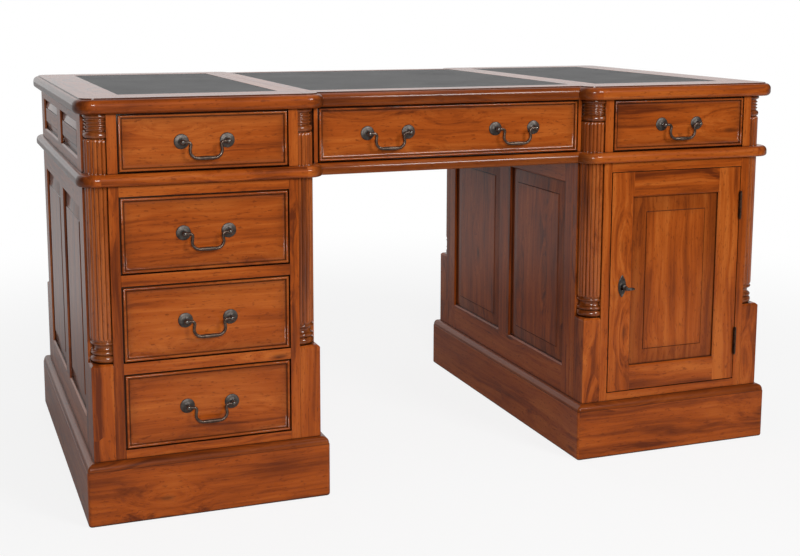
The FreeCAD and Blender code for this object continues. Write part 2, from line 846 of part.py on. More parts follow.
def oval_plate(middle, width, length, thickness):
    oval = [middle + V(p.x * width / 2, p.y * length / 2, 0) for p in ring(1.0, 0, bow_sides)]
    return Part.Face(Part.makePolygon(oval + oval[:1])).extrude(V(0, 0, thickness))


def key():
    """Key standing in the lock, its bow level and its bit hanging inside the case."""
    face = door_face - escutcheon_thickness
    end = door_back + lock_depth - 2 * lock_wall
    bow_back = face - key_shank
    shank = along_y(key_radius, bow_back - key_bow_bar / 2, end)
    collar = along_y(key_collar_radius, face - key_shank / 2, face - key_shank / 2 + key_collar_length)
    middle = V(lock_x, bow_back - key_bow_length / 2, lock_z - key_bow_thickness / 2)
    bow = oval_plate(middle, key_bow_width, key_bow_length, key_bow_thickness)
    bow = bow.cut(oval_plate(middle, key_bow_width - 2 * key_bow_bar, key_bow_length - 2 * key_bow_bar,
                             key_bow_thickness))
    half = key_bit_width / 2
    bit = box(lock_x - half, lock_x + half, end - key_bit_width, end, lock_z - key_bit, lock_z)
    return merged([shank, collar, bow, bit])


def door_parts(door_leaves):
    """Nodes of the door and what is fixed to it."""
    boards, panels = framed_panels(door_right - door_left, door_top - door_bottom, door_stile, door_rail,
                                   door_rail, 0.0, 1, door_panel_bevel)
    boards = place_all(boards, door_left, door_face, door_bottom, 0)
    key_way = along_y(key_radius + key_hole_play, door_face, door_back)
    slot_half = key_bit_width / 2 + key_hole_play
    bit_way = box(lock_x - slot_half, lock_x + slot_half, door_face, door_back,
                  lock_z - key_bit - key_hole_play, lock_z)
    mortises = [hinge_plate(door_plate_x(), z) for z in hinge_heights()]
    boards = [b.cut([key_way, bit_way] + mortises).Solids[0] for b in boards]
    return {
        "door_frame": boards,
        "door_panel": place_all(panels, door_left, door_face, door_bottom, 0),
        "door_hinge_leaves": door_leaves,
        "door_lock": [lock_case(), escutcheon()],
        "lock_bolt": [lock_bolt()],
        "key": [key()],
    }


def cut_for_hardware(posts):
    """Right posts with mortises for the hinge leaves and for the lock bolt."""
    y0, y1, z0, z1 = bolt_span()
    post_edge = right_centre - opening_width / 2
    play = strike_play
    strike = box(post_edge - bolt_throw - play, post_edge, y0 - play, y1 + play, z0 - play, z1 + play)
    cuts = [strike] + [hinge_plate(frame_plate_x(), z) for z in hinge_heights()]
    return [p.cut(cuts).Solids[0] for p in posts]


def build():
    """Every node of the desk, by name."""
    nodes = top_and_leathers()
    nodes["waist_board"] = [breakfront_board(waist_inset, waist_under, waist_top, waist_upper_round,
                                             waist_lower_round)]
    frieze_post = corner_post(waist_top, top_under)
    nodes["frieze_posts"] = at_corners(frieze_post, left_centre) + at_corners(frieze_post, right_centre)
    frieze_turning = frieze_column()
    nodes["frieze_columns"] = at_corners(frieze_turning, left_centre) + at_corners(frieze_turning, right_centre)
    end_boards, end_panels, back_boards, back_panels = frieze_walls()
    nodes["frieze_end_frames"] = end_boards
    nodes["frieze_end_panels"] = end_panels
    nodes["back_frames"] = back_boards
    nodes["back_panels"] = back_panels
    nodes["frieze_partitions"] = frieze_partitions()
    nodes["front_rails"] = front_rails()
    nodes["drawer_runners"] = drawer_runners()
    nodes["pedestal_floors"] = [pedestal_floor(left_centre), pedestal_floor(right_centre)]
    nodes["cupboard_shelf"] = [cupboard_shelf()]
    nodes["shelf_battens"] = shelf_battens()
    block = corner_block()
    nodes["corner_blocks"] = at_corners(block, left_centre) + at_corners(block, right_centre)
    turning = pedestal_column()
    post = corner_post(plinth_height, waist_under)
    nodes["pedestal_columns"] = at_corners(turning, left_centre) + at_corners(turning, right_centre)
    for name, centre in (("left", left_centre), ("right", right_centre)):
        nodes["plinth_" + name] = plinth(centre)
        nodes["posts_" + name] = at_corners(post, centre)
        side_boards, side_panels, back_boards, back_panels = pedestal_walls(centre)
        nodes["side_frames_" + name] = side_boards
        nodes["side_panels_" + name] = side_panels
        nodes["back_frames"] += back_boards
        nodes["back_panels"] += back_panels
    nodes["posts_right"] = cut_for_hardware(nodes["posts_right"])
    nodes.update(frieze_drawers())
    nodes.update(pedestal_drawers())
    frame_leaves, door_leaves = zip(*[butt_hinge(z) for z in hinge_heights()])
    nodes["hinge_frame_leaves"] = list(frame_leaves)
    nodes.update(door_parts(list(door_leaves)))
    return nodes


os.makedirs("parts", exist_ok=True)
for node, solids in build().items():
    compound = Part.makeCompound(solids)
    compound.translate(V(0, origin_shift, 0))
    compound.exportStep("parts/" + node + ".step")
    print(node, len(compound.Solids), "solids", round(compound.Volume / 1000), "cm3", compound.isValid())
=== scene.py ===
import json
import math
import random

import bmesh
import bpy
from mathutils import Matrix, Vector

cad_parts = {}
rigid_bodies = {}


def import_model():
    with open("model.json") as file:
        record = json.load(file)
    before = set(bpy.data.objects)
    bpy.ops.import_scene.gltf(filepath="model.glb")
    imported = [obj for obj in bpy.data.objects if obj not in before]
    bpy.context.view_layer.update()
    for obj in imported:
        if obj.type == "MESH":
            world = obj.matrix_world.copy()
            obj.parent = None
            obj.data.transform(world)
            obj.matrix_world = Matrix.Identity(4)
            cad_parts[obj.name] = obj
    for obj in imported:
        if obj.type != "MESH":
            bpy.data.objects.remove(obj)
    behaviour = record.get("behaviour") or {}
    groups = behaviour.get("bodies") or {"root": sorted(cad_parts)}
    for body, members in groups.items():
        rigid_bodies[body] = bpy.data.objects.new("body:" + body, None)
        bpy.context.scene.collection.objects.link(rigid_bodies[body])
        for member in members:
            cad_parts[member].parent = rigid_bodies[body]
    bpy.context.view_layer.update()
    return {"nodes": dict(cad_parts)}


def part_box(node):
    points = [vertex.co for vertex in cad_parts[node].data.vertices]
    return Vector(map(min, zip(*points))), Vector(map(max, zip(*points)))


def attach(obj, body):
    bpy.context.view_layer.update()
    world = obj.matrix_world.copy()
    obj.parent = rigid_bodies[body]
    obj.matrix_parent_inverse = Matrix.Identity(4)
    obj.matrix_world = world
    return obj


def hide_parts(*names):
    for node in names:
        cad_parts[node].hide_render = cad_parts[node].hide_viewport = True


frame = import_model()

# A lacquered mahogany pedestal desk with a leather-lined top, reeded columns and bronze handles.
# Metres, in the frame of the solids: X to the right, Y to the back, Z up. Profiles are in mm.
mm = 0.001
seed = random.Random(11)
same_spot = 1e-6
cut_slack = 1e-7

# Breakfront boards
corner_round = 36 * mm
corner_steps = 9
break_setback = 30 * mm
top_break = 270 * mm
waist_break = 272 * mm
nose_round = 11 * mm
nose_steps = 9
top_under_round = 9 * mm
waist_under_round = 6 * mm
nose_step = 2.0 * mm
nose_quirk = [(11.5, -2.0), (11.7, -0.3), (12.1, 0.0)]
quirk_glaze_and_shade = 0.8
quirk_slack = 0.1 * mm
end_stain = 0.68
end_start, end_range = 0.12, 0.6
board_joint = 310 * mm
joint_width = 0.5 * mm
joint_depth = 0.4 * mm
waist_end = 40 * mm
corner_slack = 2 * mm
leather_depth = 2 * mm
leather_sides = ("left", "centre", "right")

# Boards, panels and plinths
edge_bevel = 0.7 * mm
box_bevel = 0.8 * mm
edge_darkening_depth = 3 * mm
plain_ribbon = 0.25
post_ribbon = 0.4
front_ribbon = 0.12
plinth_ribbon = 0.1
panel_tongue = 8.0
panel_sink = 2.0
panel_feather = 20.0
plinth_corner = 7 * mm
plinth_foot = 5
plinth_thickness = 30.0
plinth_round = 13

# Columns
column_inset = 34 * mm
column_notch = 40 * mm
reed_count = 22
reed_steps = 12
reed_depth = 2.7 * mm
reed_head = 6 * mm
reed_crown = 30.4 * mm
ring_darkening = 0.38
column_pitch = 200 * mm

# Metalwork
handle_centres = 84 * mm
pivot_reach = 15 * mm
ball_foot = 9.8 * mm
bail_wire = {"Wire": 2.8 * mm, "Grip": 1.0 * mm, "Grip half": 0.15, "Collar": 0.4 * mm}
bow_wire = {"Wire": 1.7 * mm, "Grip": 0.0, "Grip half": 0.1, "Collar": 0.0}
escutcheon_pins = (-20.6, 20.6)
pin_seat = 0.5 * mm
plate_limit = 5 * mm
key_collar = 4.5 * mm
bow_length = 17
bow_middle = 8.5 * mm
bit_length = 5 * mm
bit_half = 2.5
hinge_barrel = 3.4 * mm
leaf_inner, leaf_outer = 0.5 * mm, 1.9 * mm
leaf_neck = 3 * mm
knuckle_radius = 2.2
knuckle_end = 1.8
knuckle_ease = 0.4
knuckle_play = 0.3 * mm

# Studio
white = (1, 1, 1, 1)
floor_half = 14.0
room_dark = 0.06
soft_light = 0.18
lamps = [
    ("left_softbox", (-0.9, -3.4, 1.4), (-0.3, -0.3, 0.45), (0.9, 0.9), 56, True),
    ("right_softbox", (1.5, -3.3, 2.25), (0.1, -0.3, 0.4), (1.0, 1.0), 60, True),
    ("overhead_panel", (0.5, -0.15, 2.7), (0.3, -0.2, 0.7), (2.0, 0.5), 3, True),
    ("rear_fill", (-0.4, 3.6, 2.4), (0.0, 0.2, 0.4), (1.8, 1.2), 26, False),
]
photo_width = 800
focal_pixels = 1286.95
sensor_width = 36.0
camera_place = (-0.99255, -2.66182, 0.9484)
camera_turn = (20.8223, -8.7734, 0.1408)
camera_shift = -0.0975


def new_object(name, data):
    """An object linked into the scene."""
    made = bpy.data.objects.new(name, data)
    bpy.context.scene.collection.objects.link(made)
    return made


# Node trees

class Nodes:
    """A node tree, built node by node."""

    def __init__(self, tree):
        self.tree = tree

    def set(self, socket, value):
        if isinstance(value, bpy.types.NodeSocket):
            self.tree.links.new(value, socket)
        else:
            socket.default_value = value

    def new(self, kind, settings=None, values=()):
        """A node with its settings, and with values for its inputs in their order."""
        made = self.tree.nodes.new(kind)
        for key, value in (settings or {}).items():
            setattr(made, key, value)
        for socket, value in zip(made.inputs, values):
            self.set(socket, value)
        return made

    def node(self, kind, settings=None, **inputs):
        """Outputs of a node whose inputs are set by name."""
        made = self.new(kind, settings)
        for key, value in inputs.items():
            label = key.replace("_", " ")
            self.set(next(s for s in made.inputs if s.name == label and s.enabled), value)
        return made.outputs

    def maths(self, operation, *values):
        return self.new("ShaderNodeMath", {"operation": operation}, values).outputs[0]

    def vectors(self, operation, *values):
        return self.new("ShaderNodeVectorMath", {"operation": operation}, values).outputs

    def span(self, value, low, high, to_low=0.0, to_high=1.0):
        """Eases a value from one range into another."""
        return self.new("ShaderNodeMapRange", {"interpolation_type": "SMOOTHSTEP"},
                        (value, low, high, to_low, to_high)).outputs[0]

    def mix_shaders(self, share, a, b):
        return self.new("ShaderNodeMixShader", None, (share, a, b)).outputs[0]


class Paint(Nodes):
    """A material's nodes around its principled shader."""

    def __init__(self, name):
        self.material = bpy.data.materials.new(name)
        self.material.use_nodes = True
        super().__init__(self.material.node_tree)
        self.shader = self.tree.nodes["Principled BSDF"]

    def attribute(self, label):
        return self.node("ShaderNodeAttribute", {"attribute_name": label})

    def place(self):
        return self.node("ShaderNodeTexCoord")["Object"]

    def stretched(self, vector, scale):
        return self.node("ShaderNodeMapping", Vector=vector, Scale=scale)[0]

    def noise(self, vector, scale, detail=3.0, roughness=0.5):
        return self.node("ShaderNodeTexNoise", Vector=vector, Scale=scale, Detail=detail,
                         Roughness=roughness)

    def shaken(self, vector, shake, reach):
        """A vector moved by coloured noise, as far as reach along each axis."""
        return self.vectors("MULTIPLY_ADD", shake["Color"], reach, vector)[0]

    def ramp(self, value, stops):
        made = self.new("ShaderNodeValToRGB", None, (value,))
        while len(made.color_ramp.elements) < len(stops):
            made.color_ramp.elements.new(0.5)
        for element, (place, colour) in zip(made.color_ramp.elements, stops):
            element.position = place
            element.color = (*colour, 1)
        return made.outputs[0]

    def blend(self, share, a, b):
        """Mixes two colours, on the colour sockets of a node that has others of the same names."""
        made = self.new("ShaderNodeMix", {"data_type": "RGBA"}, (share,))
        for socket, colour in zip(made.inputs[6:8], (a, b)):
            self.set(socket, colour if isinstance(colour, bpy.types.NodeSocket) else (*colour, 1))
        return made.outputs[2]

    def recess(self, reach, low, high):
        """One in the open, falling to nought in corners and grooves."""
        made = self.node("ShaderNodeAmbientOcclusion", {"samples": 8}, Distance=reach)
        return self.span(made["AO"], low, high)

    def bump(self, height, strength, distance):
        made = self.node("ShaderNodeBump", Height=height, Strength=strength, Distance=distance)
        self.set(self.shader.inputs["Normal"], made[0])

    def finish(self, **sockets):
        for key, value in sockets.items():
            self.set(self.shader.inputs[key.replace("_", " ")], value)
        return self.material


class Shaper(Nodes):
    """A Geometry Nodes tree with named inputs."""

    def __init__(self, name, inputs):
        super().__init__(bpy.data.node_groups.new(name, "GeometryNodeTree"))
        sockets = self.tree.interface
        sockets.new_socket("Geometry", in_out="INPUT", socket_type="NodeSocketGeometry")
        self.ids = {}
        for label, kind in {**inputs, "Material": "Material"}.items():
            made = sockets.new_socket(label, in_out="INPUT", socket_type="NodeSocket" + kind)
            self.ids[label] = made.identifier
        sockets.new_socket("Geometry", in_out="OUTPUT", socket_type="NodeSocketGeometry")
        self.inputs = self.tree.nodes.new("NodeGroupInput").outputs

    def point(self, x, y, z):
        return self.node("ShaderNodeCombineXYZ", X=x, Y=y, Z=z)[0]

    def split_index(self, count):
        """A point's index as its row of count points and its place in that row."""
        index = self.node("GeometryNodeInputIndex")[0]
        row = self.maths("FLOOR", self.maths("DIVIDE", self.maths("ADD", index, 0.5), count))
        return row, self.maths("SUBTRACT", index, self.maths("MULTIPLY", row, count))

    def finish(self, geometry):
        """Ends the tree with real geometry in its material."""
        smooth = self.node("GeometryNodeSetShadeSmooth", Geometry=geometry)[0]
        real = self.node("GeometryNodeRealizeInstances", Geometry=smooth)[0]
        done = self.node("GeometryNodeSetMaterial", Geometry=real,
                         Material=self.inputs["Material"])[0]
        self.new("NodeGroupOutput", None, (done,))
        return self

    def make(self, name, base, values):
        """Runs the tree on a mesh and gives the result as a plain mesh."""
        worker = new_object(name + "_maker", base)
        modifier = worker.modifiers.new("Shaper", "NODES")
        modifier.node_group = self.tree
        for label, value in values.items():
            modifier[self.ids[label]] = value
        graph = bpy.context.evaluated_depsgraph_get()
        made = bpy.data.meshes.new_from_object(worker.evaluated_get(graph))
        bpy.data.objects.remove(worker)
        made.name = name
        return made


# Finishes

def lacquered_wood(name, dark, middle, light, glaze_and_shade, coat, figure=1.0,
                   recess=(10 * mm, 0.3, 0.8), polish=0.09, coat_ior=1.5):
    """Figured wood: clouds, ribbon stripes, smoky streaks, fibres, pores and a few knots, with a
    dark glaze and painted shade in its recesses and a coat of lacquer."""
    paint = Paint(name)
    grain = paint.attribute("grain")["Vector"]
    tone, ribbon, stain_and_shade = (paint.attribute(label)["Fac"] for label in ("tone", "ribbon", "stain_and_shade"))
    drift = paint.noise(paint.stretched(grain, (2.4, 8, 8)), 1.0)
    pulled = paint.shaken(grain, drift, (0.0, 0.045, 0.045))
    spots = paint.node("ShaderNodeTexVoronoi", Vector=paint.stretched(pulled, (6, 19, 19)),
                       Scale=1.0)
    rare = paint.node("ShaderNodeSeparateColor", Color=spots["Color"])[0]
    rare = paint.maths("GREATER_THAN", rare, 0.62)
    knots = paint.maths("MULTIPLY", paint.span(spots["Distance"], 0.03, 0.16, 1.0, 0.0), rare)
    eyes = paint.maths("MULTIPLY", paint.span(spots["Distance"], 0.0, 0.7, 0.03, 0.0), rare)
    bow = paint.node("ShaderNodeCombineXYZ", Y=eyes, Z=eyes)[0]
    flow = paint.vectors("ADD", pulled, bow)[0]

    def pattern(vector, scale, detail, roughness):
        return paint.noise(paint.stretched(vector, scale), 1.0, detail, roughness)["Fac"]

    def about_nought(value):
        return paint.maths("SUBTRACT", value, 0.5)

    clouds = about_nought(pattern(flow, (4.5, 17, 17), 3.0, 0.55))
    ribbons = about_nought(pattern(flow, (0.7, 58, 58), 2.0, 0.55))
    streaks = about_nought(pattern(flow, (2.6, 150, 150), 3.0, 0.55))
    fibres = pattern(grain, (12, 520, 520), 2.0, 0.65)
    smoke = paint.span(pattern(flow, (0.9, 30, 30), 5.0, 0.65), 0.56, 0.7)
    pores = paint.span(pattern(flow, (75, 330, 330), 2.0, 0.6), 0.58, 0.69)
    strength = paint.maths("MULTIPLY_ADD", ribbon, 1.9 * figure, 0.3 * figure)
    shade = paint.maths("MULTIPLY_ADD", clouds, 0.85 * figure, 0.52)
    shade = paint.maths("ADD", shade, paint.maths("MULTIPLY", ribbons, strength))
    for part, weight in ((streaks, 0.6 * figure), (smoke, -0.3 * figure),
                         (about_nought(fibres), 0.26), (about_nought(tone), 0.22)):
        shade = paint.maths("MULTIPLY_ADD", part, weight, shade)
    colour = paint.ramp(shade, [(0.15, dark), (0.5, middle), (0.85, light)])
    colour = paint.blend(paint.maths("MULTIPLY", pores, 0.55), colour, dark)
    colour = paint.blend(paint.maths("MULTIPLY", knots, 0.7), colour, glaze_and_shade)
    # This darkening attribute holds real glaze and end-grain stain together with painted shade in
    # gaps, quirks and grooves
    colour = paint.blend(stain_and_shade, colour, glaze_and_shade)
    # Painted shade: ambient occlusion darkens corners, grooves and recesses towards the glaze
    # colour
    colour = paint.blend(paint.recess(*recess), glaze_and_shade, colour)
    height = paint.maths("SUBTRACT", paint.maths("MULTIPLY", fibres, 0.5),
                         paint.maths("MULTIPLY", pores, 0.5))
    paint.bump(height, 0.1, 0.3 * mm)
    roughness = paint.maths("MULTIPLY_ADD", fibres, 0.14, 0.34)
    return paint.finish(Base_Color=colour, Roughness=roughness, Specular_IOR_Level=0.08,
                        Coat_Weight=coat, Coat_Roughness=polish, Coat_IOR=coat_ior)


def aged_bronze(name, deep, middle, rubbed, dullness):
    """Patinated bronze, dark in its recesses, brighter and smoother where a hand has rubbed it."""
    paint = Paint(name)
    rub = paint.attribute("rub")["Fac"]
    place = paint.place()
    blotches = paint.noise(place, 160.0, 4.0, 0.6)["Fac"]
    specks = paint.noise(place, 900.0, 2.0)["Fac"]
    colour = paint.ramp(blotches, [(0.3, deep), (0.55, middle), (0.78, rubbed)])
    colour = paint.blend(paint.maths("MULTIPLY", rub, 0.7), colour, rubbed)
    colour = paint.blend(paint.recess(4 * mm, 0.1, 0.6), (0.03, 0.023, 0.018), colour)
    paint.bump(specks, 0.15, 0.2 * mm)
    roughness = paint.maths("MULTIPLY_ADD", specks, 0.2, dullness)
    roughness = paint.maths("MULTIPLY_ADD", rub, -0.22, roughness)
    return paint.finish(Base_Color=colour, Metallic=0.85, Roughness=roughness)


def grained_leather(name):
    """Black leather with a fine pebbled grain and faint clouds."""
    paint = Paint(name)
    place = paint.place()
    nudged = paint.shaken(place, paint.noise(place, 260.0, 2.0), (0.0016, 0.0016, 0.0016))
    cells = paint.node("ShaderNodeTexVoronoi", {"feature": "DISTANCE_TO_EDGE"}, Vector=nudged,
                       Scale=620.0)["Distance"]
    pebbles = paint.span(cells, 0.0, 0.3)
    clouds = paint.noise(place, 9.0, 4.0, 0.6)["Fac"]
    colour = paint.ramp(clouds, [(0.3, (0.024, 0.024, 0.026)), (0.7, (0.044, 0.043, 0.045))])
    colour = paint.blend(pebbles, (0.014, 0.014, 0.015), colour)
    paint.bump(pebbles, 0.35, 0.25 * mm)
    roughness = paint.maths("MULTIPLY_ADD", clouds, 0.16, 0.42)
    return paint.finish(Base_Color=colour, Roughness=roughness, Specular_IOR_Level=0.36)


mahogany = lacquered_wood(
    "lacquered_mahogany", dark=(0.125, 0.022, 0.003), middle=(0.345, 0.067, 0.006),
    light=(0.48, 0.12, 0.017), glaze_and_shade=(0.04, 0.0105, 0.003), coat=0.5)
turned = lacquered_wood(
    "turned_mahogany", dark=(0.115, 0.024, 0.0045), middle=(0.315, 0.069, 0.0095),
    light=(0.42, 0.112, 0.021), glaze_and_shade=(0.028, 0.009, 0.0035), coat=1.0,
    recess=(5 * mm, 0.12, 0.6), polish=0.04, coat_ior=1.6)
inner_wood = lacquered_wood(
    "drawer_lining_wood", dark=(0.2, 0.085, 0.035), middle=(0.36, 0.185, 0.085),
    light=(0.46, 0.27, 0.135), glaze_and_shade=(0.08, 0.035, 0.016), coat=0.1, figure=0.6)
bronze = aged_bronze("antique_bronze", (0.055, 0.046, 0.041), (0.1, 0.086, 0.076),
                     (0.175, 0.152, 0.134), 0.36)
rubbed_bronze = aged_bronze("rubbed_bronze", (0.07, 0.047, 0.036), (0.14, 0.098, 0.076),
                            (0.25, 0.185, 0.148), 0.24)
dark_bronze = aged_bronze("dark_bronze", (0.05, 0.028, 0.018), (0.085, 0.052, 0.034),
                          (0.14, 0.095, 0.066), 0.3)
leather = grained_leather("black_grained_leather")


# Trees for what is turned, bent or repeated

def turning_tree():
    """Spins a profile about Z. A profile point is (radius, reed, height), where reed is 0 along
    the reeds, rises to 1 at their rounded ends, and is -1 where the turning is plain."""
    t = Shaper("Turned profile", {"Sides": "Int", "Reeds": "Int", "Reed depth": "Float"})
    geometry = t.inputs["Geometry"]
    rings = t.node("GeometryNodeAttributeDomainSize", {"component": "MESH"},
                   Geometry=geometry)["Point Count"]
    around = t.maths("ADD", t.inputs["Sides"], 1.0)
    grid = t.node("GeometryNodeMeshGrid", Vertices_X=rings, Vertices_Y=around)["Mesh"]
    ring, step = t.split_index(around)
    turn = t.maths("DIVIDE", step, t.inputs["Sides"])
    place = t.node("GeometryNodeInputPosition")[0]
    sample = t.node("GeometryNodeSampleIndex", {"data_type": "FLOAT_VECTOR", "domain": "POINT"},
                    Geometry=geometry, Value=place, Index=ring)
    profile = t.node("ShaderNodeSeparateXYZ", Vector=next(s for s in sample if s.enabled))
    across = t.maths("FRACT", t.maths("MULTIPLY_ADD", turn, t.inputs["Reeds"], 0.5))
    side = t.maths("MULTIPLY_ADD", across, 2.0, -1.0)
    left = t.maths("SUBTRACT", 1.0, t.maths("MULTIPLY", side, side))
    left = t.maths("SUBTRACT", left, t.maths("MULTIPLY", profile["Y"], profile["Y"]))
    crown = t.maths("SQRT", t.maths("MAXIMUM", left, 0.0))
    reeded = t.maths("GREATER_THAN", profile["Y"], -0.5)
    sunk = t.maths("MULTIPLY", t.maths("SUBTRACT", 1.0, crown), reeded)
    sunk = t.maths("MULTIPLY", sunk, t.inputs["Reed depth"])
    radius = t.maths("SUBTRACT", profile["X"], sunk)
    angle = t.maths("MULTIPLY", turn, math.tau)
    spot = t.point(t.maths("MULTIPLY", radius, t.maths("COSINE", angle)),
                   t.maths("MULTIPLY", radius, t.maths("SINE", angle)), profile["Z"])
    spun = t.node("GeometryNodeSetPosition", Geometry=grid, Position=spot)[0]
    return t.finish(t.node("GeometryNodeMergeByDistance", Geometry=spun, Distance=same_spot)[0])


def corner_tree():
    """Sets a piece drawn in a front left corner into the four corners of both pedestals."""
    t = Shaper("Set in eight corners", {"Spread": "Float", "Width": "Float", "Depth": "Float",
                                        "Middle": "Float"})
    section, quarter = t.split_index(4.0)
    turn = t.maths("MULTIPLY", quarter, math.pi / 2)
    way = t.maths("ADD", turn, math.radians(225))
    reach = math.sqrt(0.5)
    side = t.maths("MULTIPLY_ADD", section, 2.0, -1.0)
    x = t.maths("MULTIPLY_ADD", t.maths("MULTIPLY", t.maths("COSINE", way), reach),
                t.inputs["Width"], t.maths("MULTIPLY", side, t.inputs["Spread"]))
    y = t.maths("MULTIPLY_ADD", t.maths("MULTIPLY", t.maths("SINE", way), reach),
                t.inputs["Depth"], t.inputs["Middle"])
    spots = t.node("GeometryNodePoints", Count=8, Position=t.point(x, y, 0.0))[0]
    facing = t.node("FunctionNodeEulerToRotation", Euler=t.point(0.0, 0.0, turn))[0]
    return t.finish(t.node("GeometryNodeInstanceOnPoints", Points=spots,
                           Instance=t.inputs["Geometry"], Rotation=facing)[0])


def pair_tree():
    """Sets handle posts in pairs along X, one pair for each handle."""
    t = Shaper("Set in pairs", {"Handles": "Int", "Spread": "Float", "Centres": "Float",
                                "Place": "Vector"})
    handle, side = t.split_index(2.0)
    last = t.maths("SUBTRACT", t.inputs["Handles"], 1.0)
    x = t.maths("SUBTRACT", t.maths("MULTIPLY", handle, 2.0), last)
    x = t.maths("MULTIPLY", x, t.inputs["Spread"])
    x = t.maths("MULTIPLY_ADD", t.maths("SUBTRACT", side, 0.5), t.inputs["Centres"], x)
    count = t.maths("MULTIPLY", t.inputs["Handles"], 2.0)
    spots = t.node("GeometryNodePoints", Count=count, Position=t.point(x, 0.0, 0.0))[0]
    posts = t.node("GeometryNodeInstanceOnPoints", Points=spots, Instance=t.inputs["Geometry"])[0]
    return t.finish(t.node("GeometryNodeTransform", Geometry=posts,
                           Translation=t.inputs["Place"])[0])


def bail_tree():
    """Bends a wire along a line with a bend radius at each point, swelling to a grip between two
    collars."""
    t = Shaper("Swan-neck wire", {"Wire": "Float", "Grip": "Float", "Grip half": "Float",
                                  "Collar": "Float", "Place": "Vector"})
    line = t.node("GeometryNodeMeshToCurve", Mesh=t.inputs["Geometry"])[0]
    bend = t.node("GeometryNodeInputNamedAttribute", {"data_type": "FLOAT"}, Name="bend")[0]
    bent = t.node("GeometryNodeFilletCurve", {"mode": "POLY"}, Curve=line, Count=8, Radius=bend)[0]
    bent = t.node("GeometryNodeResampleCurve", {"mode": "COUNT"}, Curve=bent, Count=110)[0]
    along = t.node("GeometryNodeSplineParameter")["Factor"]
    away = t.maths("ABSOLUTE", t.maths("SUBTRACT", along, 0.5))
    share = t.maths("DIVIDE", away, t.inputs["Grip half"])
    belly = t.maths("SUBTRACT", 1.0, t.maths("MULTIPLY", share, share))
    belly = t.maths("MAXIMUM", belly, 0.0)
    near = t.maths("DIVIDE", t.maths("SUBTRACT", share, 1.1), 0.07)
    ring = t.maths("EXPONENT", t.maths("MULTIPLY", t.maths("MULTIPLY", near, near), -1.0))
    radius = t.maths("MULTIPLY_ADD", belly, t.inputs["Grip"], t.inputs["Wire"])
    radius = t.maths("MULTIPLY_ADD", ring, t.inputs["Collar"], radius)
    section = t.node("GeometryNodeCurvePrimitiveCircle", {"mode": "RADIUS"}, Resolution=14,
                     Radius=1.0)[0]
    wire = t.node("GeometryNodeCurveToMesh", Curve=bent, Profile_Curve=section, Scale=radius,
                  Fill_Caps=True)[0]
    return t.finish(t.node("GeometryNodeTransform", Geometry=wire,
                           Translation=t.inputs["Place"])[0])


turning = turning_tree()
corners = corner_tree()
pairs = pair_tree()
wires = bail_tree()


# Meshes and pieces

def new_piece(name, mesh, body, node):
    """A finished piece on its body, standing for the solids that it covers."""
    piece = new_object(name, mesh)
    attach(piece, body)
    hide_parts(node)
    return piece


def shade_mesh(mesh, sharp):
    """Smooth but for the edges sharper than an angle."""
    mesh.shade_smooth()
    mesh.set_sharp_from_angle(angle=math.radians(sharp))


class Pile:
    """Boards gathered for one piece, each with its own run of grain."""

    def __init__(self):
        self.points, self.faces, self.grain = [], [], []
        self.values = {"tone": [], "ribbon": [], "stain_and_shade": []}

    def add(self, bm, run_of, stain_and_shade_of=lambda v: 0.0):
        """Takes a mesh. run_of gives a face's (grain axis, offset, tone, ribbon), and
        stain_and_shade_of a corner's darkening: dark glaze, end-grain stain and painted shade."""
        bm.verts.index_update()
        start = len(self.points)
        self.points += [v.co.copy() for v in bm.verts]
        for face in bm.faces:
            axis, offset, tone, ribbon = run_of(face)
            self.faces.append([start + v.index for v in face.verts])
            for v in face.verts:
                self.grain += [v.co[(axis + i) % 3] + offset[i] for i in range(3)]
                for label, value in zip(self.values, (tone, ribbon, stain_and_shade_of(v))):
                    self.values[label].append(value)
        bm.free()

    def piece(self, name, node, body, material, slot="mahogany", sharp=32, even=True):
        """The boards as one piece. even keeps wide faces flat beside their small bevels."""
        mesh = bpy.data.meshes.new(name)
        mesh.from_pydata(self.points, [], self.faces)
        grain = mesh.attributes.new("grain", "FLOAT_VECTOR", "CORNER")
        grain.data.foreach_set("vector", self.grain)
        for label, values in self.values.items():
            mesh.attributes.new(label, "FLOAT", "CORNER").data.foreach_set("value", values)
        mesh.materials.append(material)
        shade_mesh(mesh, sharp)
        made = new_piece(name, mesh, body, node)
        if even:
            made.modifiers.new("Even shading", "WEIGHTED_NORMAL").keep_sharp = True


def new_cut(ribbon=plain_ribbon):
    """Where a board lies in its log, how light it is, and how strongly it is striped."""
    offset = [seed.uniform(-4, 4), seed.choice((-1, 1)) * seed.uniform(0.06, 0.3),
              seed.uniform(-0.2, 0.2)]
    return offset, seed.random(), ribbon * seed.uniform(0.7, 1.3)


class Cuts(dict):
    """Cuts of wood by board, each drawn when its board is first met."""

    def __init__(self, ribbon=plain_ribbon):
        super().__init__()
        self.ribbon = ribbon

    def __missing__(self, board):
        self[board] = new_cut(self.ribbon)
        return self[board]


def reach_of(bm):
    """Lowest and highest corner of a mesh."""
    return [Vector([pick(v.co[i] for v in bm.verts) for i in range(3)]) for pick in (min, max)]


def longest_axis(bm):
    low, high = reach_of(bm)
    return max(range(3), key=lambda i: high[i] - low[i])


def outward(bm):
    bmesh.ops.recalc_face_normals(bm, faces=bm.faces)


def everything(bm):
    return bm.verts[:] + bm.edges[:] + bm.faces[:]


def quarter_turn(steps):
    """Angles through a quarter turn."""
    return [math.pi / 2 * i / steps for i in range(steps + 1)]


